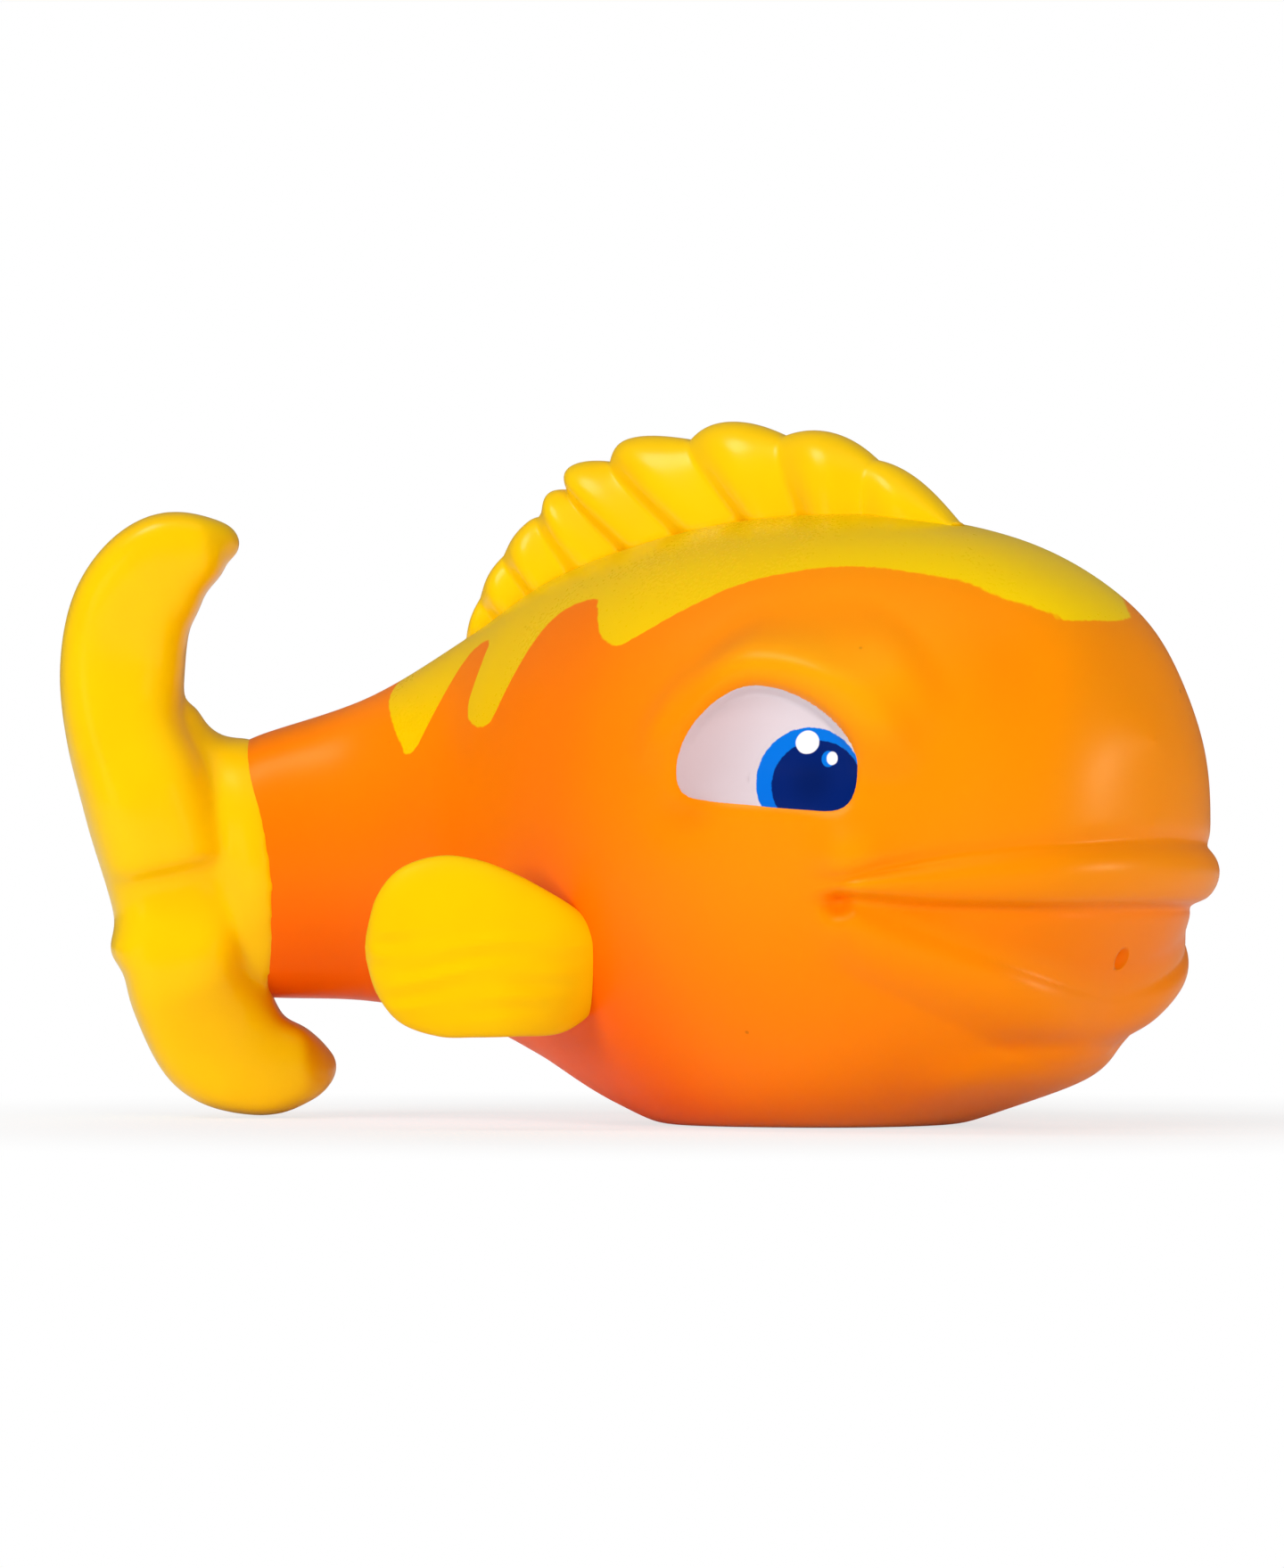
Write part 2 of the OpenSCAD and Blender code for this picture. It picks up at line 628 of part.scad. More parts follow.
module squeaker_grille() {
    color([0.93, 0.93, 0.9]) at_squeaker() difference() {
        translate([0, 0, grille_z]) cylinder(d = grille_d, h = grille_t, $fn = 64);
        translate([0, 0, grille_z - 1]) cylinder(d = grille_hole_d, h = grille_t + 2, $fn = 24);
        for (i = [0:grille_holes - 1])
            rotate([0, 0, 360 / grille_holes * i]) translate([grille_d / 3.4, 0, grille_z - 1])
                cylinder(d = grille_hole_d, h = grille_t + 2, $fn = 24);
    }
}

// The part of the tube's bore behind the plane x = face, from height z for a length h
module half_plug(face, z, h) {
    intersection() {
        translate([0, 0, z]) cylinder(d = tube_bore - 2 * fit_gap, h = h, $fn = 64);
        translate([-tube_bore, -tube_bore, z - 1]) cube([tube_bore + face, 2 * tube_bore, h + 2]);
    }
}

module reed_block() {
    face = -reed_t / 2 - reed_gap;
    color([0.86, 0.86, 0.84]) at_squeaker() difference() {
        half_plug(face, block_z, reed_block_len);
        translate([face - reed_open, -tube_bore, wedge_top]) cube([tube_bore, 2 * tube_bore, reed_block_len]);
        translate([face - reed_open - 1.2, -slot_w / 2, wedge_top + 0.6])
            cube([tube_bore, slot_w, reed_block_len]);
    }
}

module reed_wedge() {
    face = -reed_t / 2 - reed_gap;
    color([0.86, 0.86, 0.84]) at_squeaker() rotate([0, 0, 180]) half_plug(face, block_z, wedge_len);
}

module reed() {
    color([0.75, 0.6, 0.3]) at_squeaker()
        translate([-reed_t / 2, -reed_w / 2, block_z + 0.3]) cube([reed_t, reed_w, reed_block_len - 0.7]);
}

body_shell();
tail_fin();
dorsal_fin();
right_side_fin();
left_side_fin();
right_eye();
left_eye();
squeaker_case();
squeaker_grille();
reed_block();
reed();
reed_wedge();
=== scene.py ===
import math
from collections import namedtuple

import bmesh
import bpy
from mathutils import Matrix, Vector


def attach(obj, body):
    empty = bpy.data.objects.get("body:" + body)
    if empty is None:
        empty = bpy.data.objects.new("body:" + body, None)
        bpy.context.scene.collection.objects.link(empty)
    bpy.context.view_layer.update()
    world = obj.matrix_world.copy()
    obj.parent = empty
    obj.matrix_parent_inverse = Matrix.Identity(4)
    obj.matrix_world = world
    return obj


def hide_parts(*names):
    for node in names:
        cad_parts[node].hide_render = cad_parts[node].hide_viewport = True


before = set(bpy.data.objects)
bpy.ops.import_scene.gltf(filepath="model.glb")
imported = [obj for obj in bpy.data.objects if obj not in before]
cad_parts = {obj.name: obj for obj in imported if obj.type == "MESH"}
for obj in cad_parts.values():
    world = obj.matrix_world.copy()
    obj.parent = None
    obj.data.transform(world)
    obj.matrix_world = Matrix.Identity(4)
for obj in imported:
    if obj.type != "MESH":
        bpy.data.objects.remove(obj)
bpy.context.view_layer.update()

MM = 0.001
FULL_TURN = 2 * math.pi

# Sizes in millimetres and turns in degrees, as in the part's source, unless a comment says metres
BODY_W = 52.4
EYE_Z, EYE_TURN = 32, 76
UPPER_LIP_Z, LOWER_LIP_Z, MOUTH_CORNER_Z, MOUTH_TURN = 21.8, 10.5, 19, 63
HEAD_X, JOINT_X, BEND_X, BEND_SOFT = 4, -58, -20, 12
TAIL_SWING = math.radians(37)
BEND_R = (BEND_X - JOINT_X) / TAIL_SWING
ROUND_N = 2.2

# Sections of the body from the nose back:
# place on the spine, half width, top, bottom, height of the widest point
Section = namedtuple("Section", "x half top bottom waist")
SECTIONS = [
    Section(32, 0, 33, 26, 29),
    Section(31, 8, 36.4, 19.6, 28),
    Section(28.3, 14, 42.4, 12.4, 26.5),
    Section(23.5, 19, 46.8, 6.2, 25.5),
    Section(15, 23.8, 50.7, 2, 24.5),
    Section(4, 26.2, 52.6, -1.4, 24),
    Section(-8, 25.6, 52.4, -2.4, 23.5),
    Section(-19, 22.6, 50.6, 0.6, 23),
    Section(-29, 18.2, 47.6, 5, 23),
    Section(-38, 13.6, 42.6, 8.4, 23),
    Section(-48, 9.8, 37.1, 10.2, 22.7),
    Section(-58, 8, 33.7, 10.6, 22.4),
    Section(-61, 6.4, 32, 12, 22.4),
]
LAST_SECTION = len(SECTIONS) - 1


# ---- Curves ----

def through(a, b, c, d, t):
    """Smooth curve through four values, t from 0 to 1 between the middle two."""
    square = 2 * a - 5 * b + 4 * c - d
    cube = 3 * b - a - 3 * c + d
    return 0.5 * (2 * b + (c - a) * t + square * t * t + cube * t ** 3)


def along_rows(rows, t):
    """The row at t of a list of rows, with the ends held."""
    last = len(rows) - 1
    i = min(int(t), last - 1)
    four = [rows[min(max(k, 0), last)] for k in range(i - 1, i + 3)]
    return [through(*values, t - i) for values in zip(*four)]


def search(low, high, short_of, steps=30):
    """The value between low and high up to which short_of holds."""
    for _ in range(steps):
        mid = (low + high) / 2
        low, high = (mid, high) if short_of(mid) else (low, mid)
    return (low + high) / 2


def bump(d, width):
    """Bell: 1 at 0, and close to 0 from twice its width on."""
    return math.exp(-(d / width) ** 2)


def mound(dx, dz, wide, high):
    """Round bell over two directions."""
    return bump(math.hypot(dx / wide, dz / high), 1)


def roll(d, width, power):
    """Rounded roll: 1 on its crest and 0 from width on; a low power gives it a steep edge."""
    return max(0, 1 - (d / width) ** 2) ** power


def ramp(v, start, run):
    """0 before start, 1 after start + run, and smooth between; a negative run goes downward."""
    c = max(0, min(1, (v - start) / run))
    return c * c * (3 - 2 * c)


def signed_power(v, p):
    return math.copysign(abs(v) ** p, v)


# ---- Body form ----

def section(i):
    """Section i of the body, mirrored beyond the nose and carried on beyond the stem."""
    if i < 0:
        ahead = SECTIONS[1]
        return ahead._replace(half=-ahead.half)
    if i > LAST_SECTION:
        return tuple(2 * a - b for a, b in zip(SECTIONS[-1], SECTIONS[-2]))
    return SECTIONS[i]


def form(t):
    """Body section at t."""
    i = min(int(t), LAST_SECTION - 1)
    four = [section(k) for k in range(i - 1, i + 3)]
    return Section(*(through(*values, t - i) for values in zip(*four)))


def form_at(x):
    """Body section at x on the spine."""
    return form(search(0, LAST_SECTION, lambda t: form(t).x > x, steps=24))


def level_of(f, z):
    """Height z in section f: 0 at its widest point, 1 at its top and -1 at its bottom."""
    reach = f.top - f.waist if z > f.waist else f.waist - f.bottom
    return max(-1, min(1, (z - f.waist) / reach))


def half_width(f, z):
    """Half width of section f at height z."""
    return f.half * max(1 - abs(level_of(f, z)) ** ROUND_N, 0) ** (1 / ROUND_N)


def bend(x, y, z):
    """The straight body's point, carried round the bend of the tail, which comes in softly."""
    past = BEND_X + BEND_SOFT - x
    if past <= 0:
        return Vector((x, y, z))
    if past < 2 * BEND_SOFT:
        # The bend tightens evenly: first terms of its curve
        tight = BEND_SOFT * BEND_R
        turn = past ** 2 / (4 * tight)
        mid_x = x + past ** 5 / (160 * tight ** 2)
        mid_y = -past ** 3 / (12 * tight)
    else:
        # The rest is a plain arc
        turn, first = (BEND_X - x) / BEND_R, BEND_SOFT / BEND_R
        start_x = BEND_X - BEND_SOFT + 0.2 * BEND_SOFT * first ** 2
        start_y = -2 / 3 * BEND_SOFT * first
        mid_x = start_x - BEND_R * (math.sin(turn) - math.sin(first))
        mid_y = start_y + BEND_R * (math.cos(turn) - math.cos(first))
    return Vector((mid_x - y * math.sin(turn), mid_y + y * math.cos(turn), z))


def rest_on_floor(z, soft=0.25):
    """Height of a point of the belly, pressed flat on the floor."""
    return z if z > 8 * soft else soft * math.log1p(math.exp(z / soft))


# ---- Face ----

# How far its forms stand out or go in
UPPER_LIP_OUT, LOWER_LIP_OUT, LOWER_LIP_SIDE_OUT, CHIN_OUT = 1.1, 0.75, 0.45, 1.6
MOUTH_IN, CREASE_IN = 0.7, 0.25
BROW_OUT, SWELLING_OUT, CHEEK_OUT = 2.5, 1.7, 1.7
TEMPLE_IN, EYE_FLAT_IN, DIMPLE_IN, EYE_CORNER_IN, SEAT_IN = 0.5, 0.4, 1.7, 0.6, 0.9

# Where they lie
UPPER_LIP_HALF, UPPER_LIP_DROP = 2.8, 1.2
LOWER_LIP_CREST, LOWER_LIP_ABOVE, LOWER_LIP_BELOW = 1.7, 2.6, 3.9
CHIN_Z, CHIN_DENT_Z = 4.0, 7.2
BROW_CREST = 2.6
FACE_BACK = -14

# The eye's outline: its widest place from the eye's centre, its reach each way, and its roundness
ARCH_X, ARCH_Z = -2.4, -1.2
ARCH_FRONT, ARCH_REAR, ARCH_UP, ARCH_DOWN_FRONT, ARCH_DOWN_REAR = 9.9, 7.2, 6.8, 7, 5.6
ARCH_N_UP, ARCH_N_DOWN = 1.8, 2.4
LID_Z, LID_SLOPE, LID_BLEND = -4.45, -0.08, 0.6


def mouth_form(a, z):
    """Lips, mouth and chin, turned a degrees from the front at height z."""
    along = a / MOUTH_TURN
    near_corner = min(along, 1.15)
    thin = max(0.26, 1 - 0.55 * near_corner ** 2 - 0.25 * near_corner ** 6)

    # Upper lip with the fold over it, both thinner toward the corner
    up = z - UPPER_LIP_Z + UPPER_LIP_DROP * min(along, 1.1) ** 2
    upper = UPPER_LIP_OUT * roll(up, UPPER_LIP_HALF * thin, 1.1 if up > 0 else 0.9)
    fold = (0.2 + 0.25 * ramp(near_corner, 0.6, 0.3)) * bump(up - 3.0 * thin, 0.5 + 0.3 * thin)

    # Mouth between the lips, and the crease along the upper one
    rise = z - LOWER_LIP_Z - (MOUTH_CORNER_Z - LOWER_LIP_Z) * min(along, 1) ** 1.5
    mouth = MOUTH_IN * ramp(-up, 2.1 * thin, 1.0) * ramp(rise, 0.4, 3)
    crease = CREASE_IN * bump(up + 2.9 * thin, 0.6)

    # Lower lip, which falls away more slowly below its crest
    crest = rise + LOWER_LIP_CREST
    lip = roll(crest, LOWER_LIP_ABOVE, 1.1) if crest > 0 else roll(crest, LOWER_LIP_BELOW, 1.3)
    lower = (LOWER_LIP_OUT + LOWER_LIP_SIDE_OUT * ramp(a, 0, 24)) * lip

    # Chin with the dent over it
    dent = (0.35 + 0.4 * ramp(a, 0, 14)) * (1 - ramp(a, 20, 16))
    dent *= bump(z - CHIN_DENT_Z - 0.4 * (a / 30) ** 2, 1.0)
    chin = CHIN_OUT * bump(z - CHIN_Z, 2.3) - dent

    lips = upper - fold - mouth - crease + lower
    return lips * (1 - ramp(near_corner, 0.9, 0.22)) + chin * (1 - ramp(a, 28, 22))


def eye_place(a, z):
    """Place round the head from the eye's centre: forward, and up."""
    return math.radians(EYE_TURN - a) * BODY_W / 2, z - EYE_Z


def eye_arch(ex, ez):
    """1 on the eye's rounded outline, without its lower lid, and less inside it."""
    front = ex > ARCH_X
    dx = abs(ex - ARCH_X) / (ARCH_FRONT if front else ARCH_REAR)
    if ez > ARCH_Z:
        dz, n = (ez - ARCH_Z) / ARCH_UP, ARCH_N_UP
    else:
        dz, n = (ARCH_Z - ez) / (ARCH_DOWN_FRONT if front else ARCH_DOWN_REAR), ARCH_N_DOWN
    return (dx ** n + dz ** n) ** (1 / n)


def eye_edge(ex, ez):
    """How far a place lies outside the eye's outline, in millimetres; inside it is negative."""
    r, step = eye_arch(ex, ez), 0.05
    slope = math.hypot(eye_arch(ex + step, ez) - r, eye_arch(ex, ez + step) - r) / step
    arch = (r - 1) / max(slope, 0.08)
    lid = LID_Z + LID_SLOPE * ex - ez
    most = max(arch, lid)
    return most + LID_BLEND * math.log(
        math.exp((arch - most) / LID_BLEND) + math.exp((lid - most) / LID_BLEND))


def brow_form(a, z):
    """Roll over the eye, the swelling in front of it, the hollow temple, and the cheek."""
    ex, ez = eye_place(a, z)
    d = eye_edge(ex, ez)

    # Roll along the eye's upper edge, highest over its middle
    over = ramp(ez, -3, 6) * (0.4 + 0.6 * ramp(ex, -10, 8)) * (1 - 0.25 * ramp(ex, 3, 8))
    crest = d - BROW_CREST
    lid = roll(crest, 3.2, 0.9) if crest < 0 else bump(crest, 2.5)

    # Swelling between the roll and the forehead, and the hollow in front of it
    front = ramp(ex, -3, 14) * ramp(ez, 0.5, 7)
    brink = 7.8 + 2.2 * ramp(ex, 2, 10) + 0.8 * ramp(ez, 5, 5)
    swelling = front * ramp(d, 0, 4) * ramp(d, brink, -4)
    temple = mound(ex - 21, ez - 7, 4.5, 5.5)
    brow = BROW_OUT * over * lid + SWELLING_OUT * swelling
    brow -= TEMPLE_IN * temple + EYE_FLAT_IN * ramp(d, 0, -3)

    # Cheek over the mouth corner, the corner's dimple, and the dent at the eye's rear corner
    above_corner = z - MOUTH_CORNER_Z
    cheek = CHEEK_OUT * mound(ex - 7.2, above_corner - 4.2, 3.0, 3.0)
    dimple = DIMPLE_IN * mound(ex - 5.9, above_corner - 0.4, 1.15, 1.15)
    corner = EYE_CORNER_IN * mound(ex + 8.5, ez + 5.2, 2.6, 1.7)
    return brow + cheek - dimple - corner


def eye_seat(a, z):
    """The recess that the eye piece sits in."""
    ex, ez = eye_place(a, z)
    if abs(ex) > 14 or abs(ez) > 10:
        return 0
    return -SEAT_IN * (1 - ramp(eye_edge(ex, ez), -0.9, 1.6))


def push(x, y, z, seat=True):
    """Point of the straight body moved out from the head's upright axis by the face's forms,
    and how far it was moved."""
    ahead = x - HEAD_X
    r = math.hypot(ahead, y)
    if ahead < FACE_BACK or r < 1:
        return x, y, z, 0
    a = math.degrees(math.atan2(abs(y), ahead))
    d = (mouth_form(a, z) + brow_form(a, z)) * ramp(ahead, FACE_BACK, 10)
    if seat:
        d += eye_seat(a, z)
    return x + d / r * ahead, y + d / r * y, z, d


# ---- Mesh work ----

def take_grid(across, around):
    """A bmesh grid whose vertices run from 0 to 1 both ways."""
    made = bmesh.new()
    bmesh.ops.create_grid(made, x_segments=across, y_segments=around, size=0.5,
                          matrix=Matrix.Translation((0.5, 0.5, 0)))
    return made


def close_up(made, gap=1e-6):
    """Joins a rolled-up grid along its seam, and points its faces outward."""
    bmesh.ops.remove_doubles(made, verts=made.verts, dist=gap)
    bmesh.ops.dissolve_degenerate(made, edges=made.edges, dist=gap / 4)
    bmesh.ops.recalc_face_normals(made, faces=made.faces)


def cap_and_close(made, gap=1e-6):
    """Closes a rolled-up grid's open ends too."""
    bmesh.ops.holes_fill(made, edges=[e for e in made.edges if e.is_boundary])
    close_up(made, gap)


def set_smooth(mesh, smooth=True):
    mesh.polygons.foreach_set("use_smooth", [smooth] * len(mesh.polygons))


def make_piece(made, name, smooth=True):
    """An object from a bmesh, which is used up."""
    mesh = bpy.data.meshes.new(name)
    made.to_mesh(mesh)
    made.free()
    set_smooth(mesh, smooth)
    piece = bpy.data.objects.new(name, mesh)
    bpy.context.scene.collection.objects.link(piece)
    return piece


def apply_modifiers(piece):
    """Puts the outcome of a piece's modifiers in its mesh."""
    held = bpy.context.evaluated_depsgraph_get()
    mesh = bpy.data.meshes.new_from_object(piece.evaluated_get(held),
                                           preserve_all_data_layers=True, depsgraph=held)
    old = piece.data
    piece.modifiers.clear()
    piece.data = mesh
    bpy.data.meshes.remove(old)


def cut(piece, *cutters):
    """Cuts the cutters out of a piece, and takes the cutters away."""
    for cutter in cutters:
        cutting = piece.modifiers.new("cut", "BOOLEAN")
        cutting.operation = "DIFFERENCE"
        cutting.solver = "EXACT"
        cutting.object = cutter
    apply_modifiers(piece)
    for cutter in cutters:
        bpy.data.objects.remove(cutter)


def fit(piece, node, material, body="fish"):
    """Finishes a piece that stands for a CAD node."""
    piece.data.materials.clear()
    piece.data.materials.append(material)
    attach(piece, body)
    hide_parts(node)


# ---- Shader sums ----

class Flow:
    """A socket in one material's node tree, with sums written as Python expressions."""

    def __init__(self, tree, socket=None):
        self.tree = tree
        self.socket = socket

    def add(self, kind, sockets=None, out=0, **settings):
        """Adds a node: first its settings, then the values or links of its sockets.
        Gives its output out."""
        made = self.tree.nodes.new("ShaderNode" + kind)
        for name, value in settings.items():
            if name == "stops":
                self.set_stops(made.color_ramp, value)
            elif name == "points":
                self.set_points(made.mapping, value)
            else:
                setattr(made, name, value)
        for name, value in (sockets or {}).items():
            self.feed(made.inputs[name], value)
        return Flow(self.tree, made.outputs[out])

    def feed(self, socket, value):
        """Links a flow to a socket, or sets its value."""
        if isinstance(value, Flow):
            self.tree.links.new(value.socket, socket)
        else:
            socket.default_value = value

    @staticmethod
    def set_stops(ramp_of, stops):
        while len(ramp_of.elements) < len(stops):
            ramp_of.elements.new(0.5)
        for element, (place, colour) in zip(ramp_of.elements, stops):
            element.position = place
            element.color = (*colour, 1)

    @staticmethod
    def set_points(mapping, points):
        curve = mapping.curves[0]
        while len(curve.points) < len(points):
            curve.points.new(0.5, 0.5)
        for point, place in zip(curve.points, points):
            point.location = place
            point.handle_type = "AUTO_CLAMPED"
        mapping.update()

    def sum(self, operation, a, b):
        return self.add("Math", {0: a, 1: b}, operation=operation)

    def __add__(self, other):
        return self.sum("ADD", self, other)

    def __radd__(self, other):
        return self.sum("ADD", other, self)

    def __sub__(self, other):
        return self.sum("SUBTRACT", self, other)

    def __rsub__(self, other):
        return self.sum("SUBTRACT", other, self)

    def __mul__(self, other):
        return self.sum("MULTIPLY", self, other)

    def __rmul__(self, other):
        return self.sum("MULTIPLY", other, self)

    def __truediv__(self, other):
        return self.sum("DIVIDE", self, other)

    def __pow__(self, other):
        return self.sum("POWER", self, other)

    def over(self, low, high):
        """0 below low, 1 above high, and smooth between."""
        return self.add("MapRange", {"Value": self, "From Min": low, "From Max": high},
                        interpolation_type="SMOOTHSTEP")


def new_material(name):
    """A material, its shader, and the flow that its nodes are added with."""
    material = bpy.data.materials.new(name)
    material.use_nodes = True
    tree = material.node_tree
    return material, tree.nodes["Principled BSDF"], Flow(tree)


def set_shader(shader, flow, **inputs):
    for name, value in inputs.items():
        flow.feed(shader.inputs[name.replace("_", " ")], value)


def mix(flow, share, a, b):
    """Colour a where share is 0, and b where it is 1."""
    a, b = (c if isinstance(c, Flow) else (*c, 1) for c in (a, b))
    return flow.add("Mix", {0: share, 6: a, 7: b}, out=2, data_type="RGBA")


def apart(flow, vector):
    """The x, y and z of a vector."""
    return [flow.add("SeparateXYZ", {0: vector}, out=k) for k in range(3)]


def spot_of(flow):
    """Place on the piece, in metres."""
    return flow.add("TexCoord", out="Object")


def noise(flow, vector, scale, detail):
    return flow.add("TexNoise", {"Vector": vector, "Scale": scale, "Detail": detail})


def with_dust(flow, spot, colour, scale, patches, share, dust):
    """The colour with a few fine specks of dust, in patches."""
    specks = flow.add("TexVoronoi", {"Vector": spot, "Scale": scale}, out="Distance")
    patch = noise(flow, spot, scale=patches, detail=0).over(0.66, 0.7)
    return mix(flow, (1 - specks.over(0.03, 0.06)) * patch * share, colour, dust)


def relief_of(flow, strength, height):
    """Fine relief; height is in millimetres."""
    return flow.add("Bump", {"Strength": strength, "Distance": MM, "Height": height})


def shade(r, g, b):
    """Linear colour of screen values from 0 to 255."""
    return tuple(v / 255 / 12.92 if v < 11 else ((v / 255 + 0.055) / 1.055) ** 2.4
                 for v in (r, g, b))


# ---- Materials ----

# The body's ramp runs from a redder orange (painted shade) through the plain one to lighter ones
# (painted light and painted highlight)
ORANGE, ORANGE_PAINTED_SHADE = shade(253, 128, 0), shade(252, 98, 0)
ORANGE_PAINTED_LIGHT, ORANGE_PAINTED_HIGHLIGHT = shade(255, 144, 1), shade(255, 164, 6)
SADDLE_YELLOW, SADDLE_PAINTED_LIGHT_YELLOW = shade(244, 198, 0), shade(255, 213, 0)
FIN_YELLOW, FIN_SHADE, SIDE_YELLOW = shade(253, 203, 0), shade(250, 190, 0), shade(250, 200, 0)
EYE_WHITE, EYE_PAINTED_SHADE, EYE_GLINT = shade(219, 207, 213), shade(201, 173, 175), shade(246, 244, 250)
IRIS_BLUE, IRIS_LOW_BLUE = shade(2, 116, 220), shade(1, 106, 214)
PUPIL_BLUE, PUPIL_MID_BLUE = shade(0, 30, 104), shade(0, 26, 92)
PLASTIC_WHITE, PLASTIC_SHADE = shade(240, 238, 230), shade(226, 222, 210)
FILM_AMBER, FILM_BROWN = shade(206, 152, 70), shade(180, 124, 48)
ORANGE_DUST, YELLOW_DUST = (0.12, 0.04, 0.0), (0.2, 0.1, 0.0)

# Lower edge of the painted saddle: place along the back, sheared with height, and height
SADDLE_EDGE = [
    (-45, 58), (-42, 42), (-41.1, 37.2), (-40.3, 36.2), (-38.3, 34.4), (-36, 32.7),
    (-34.7, 32), (-34, 32.6), (-33.7, 34.4), (-33.5, 37.1), (-33.2, 39.9), (-32.6, 41.2),
    (-31, 41.9), (-30.3, 41.7), (-29.8, 40.8), (-29.1, 39), (-28.8, 37.9), (-27.9, 35.9),
    (-26.4, 34.8), (-23.8, 34.3), (-22.3, 34.7), (-21.8, 36), (-21.5, 38.6), (-21.2, 41.3),
    (-20.4, 43.6), (-18.9, 44.7), (-16.7, 45.2), (-15.6, 45.3), (-14.4, 44.7), (-12.5, 43.5),
    (-10.7, 42.3), (-8.7, 41.5), (-6.9, 41.2), (-5.9, 41.7), (-2.9, 43.9), (-1.3, 45),
    (0.9, 46.3), (4.4, 47.3), (9.2, 47.8), (15.1, 47.2), (18.9, 46.5), (21.7, 45.5),
    (26.6, 43.8), (28.1, 43.2), (28.6, 43.2), (28.9, 43.8), (29.2, 46), (32, 58),
]
SADDLE_REAR, SADDLE_LENGTH = -45, 77
SADDLE_LOW, SADDLE_RISE = 30, 30
SADDLE_SHEAR, SADDLE_SHEAR_Z = 0.5, 45


def orange_vinyl():
    material, shader, flow = new_material("satin_orange_vinyl")
    spot = spot_of(flow)
    x, y, z = apart(flow, flow.add("Attribute", out="Vector", attribute_name="straight"))
    raised = flow.add("Attribute", out="Fac", attribute_name="raised")
    grain = noise(flow, spot, scale=2600, detail=3)
    cloud = noise(flow, spot, scale=55, detail=3)
    ragged = noise(flow, spot, scale=1500, detail=2)

    # Colour with painted light and shade: redder (painted shade) low down, toward the stem and in
    # the face's creases, lighter (painted light) toward the front and top, painted highlight on the
    # face's rolls, and slightly uneven at random
    painted_light_and_tone = x.over(-15, 12) * 0.48 + z.over(8, 30) * 0.25 + 0.1
    painted_light_and_tone = painted_light_and_tone + z.over(24, 36) * (1 - x.over(-50, -20)) * 0.15 + (cloud - 0.5) * 0.1
    # Painted highlight where the face stands out, and painted shade where it goes in, from how far
    # the face raised each place
    painted_light_and_tone = painted_light_and_tone + raised.over(0.3, 3.4) * 0.36 - (1 - raised.over(-0.9, 0.1)) * 0.22
    base = flow.add("ValToRGB", {0: painted_light_and_tone * 0.7}, stops=[
        (0.07, ORANGE_PAINTED_SHADE), (0.3, ORANGE), (0.56, ORANGE_PAINTED_LIGHT), (0.84, ORANGE_PAINTED_HIGHLIGHT)])

    # Painted saddle with a slightly ragged edge, a little higher on the left of the forehead
    along = x + SADDLE_SHEAR * (SADDLE_SHEAR_Z - z)
    edge = flow.add("FloatCurve", {"Value": (along - SADDLE_REAR) / SADDLE_LENGTH}, points=[
        ((place - SADDLE_REAR) / SADDLE_LENGTH, (height - SADDLE_LOW) / SADDLE_RISE)
        for place, height in SADDLE_EDGE])
    left = 0.65 * y.over(0.5, 6) * x.over(14, 22)
    above = z - (edge * SADDLE_RISE + SADDLE_LOW) - left + (ragged - 0.5) * 0.3
    paint = above.over(-0.1, 0.1)
    # The saddle's yellow is lighter toward the front: painted light, with a little random
    # unevenness
    front = x.over(0, 26) * 0.8 + (cloud - 0.5) * 0.3
    colour = mix(flow, paint, base, mix(flow, front, SADDLE_YELLOW, SADDLE_PAINTED_LIGHT_YELLOW))
    colour = with_dust(flow, spot, colour, scale=190.0, patches=120, share=0.35, dust=ORANGE_DUST)

    gloss = 0.34 + (cloud - 0.5) * 0.1 + (grain - 0.5) * 0.06 - paint * 0.06
    relief = relief_of(flow, strength=0.2, height=grain * 0.008 + paint * 0.05)
    set_shader(shader, flow, Base_Color=colour, Roughness=gloss, Normal=relief,
               Specular_Tint=(1, 0.75, 0.3, 1), Specular_IOR_Level=0.28,
               Subsurface_Weight=0.1, Subsurface_Radius=(1, 0.3, 0.05), Subsurface_Scale=0.0025)
    return material


def yellow_vinyl(name, main, low, rough, coat):
    material, shader, flow = new_material(name)
    spot = spot_of(flow)
    grain = noise(flow, spot, scale=2200, detail=3)
    cloud = noise(flow, spot, scale=90, detail=3)
    colour = mix(flow, cloud.over(0.35, 0.7) * 0.5, main, low)
    colour = with_dust(flow, spot, colour, scale=210.0, patches=140, share=0.3, dust=YELLOW_DUST)
    gloss = rough + (cloud - 0.5) * 0.08 + (grain - 0.5) * 0.05
    relief = relief_of(flow, strength=0.25, height=grain * 0.015 + cloud * 0.12)
    set_shader(shader, flow, Base_Color=colour, Roughness=gloss, Normal=relief,
               Specular_Tint=(1, 0.8, 0.2, 1), Specular_IOR_Level=0.25,
               Coat_Weight=coat, Coat_Roughness=0.2)
    return material


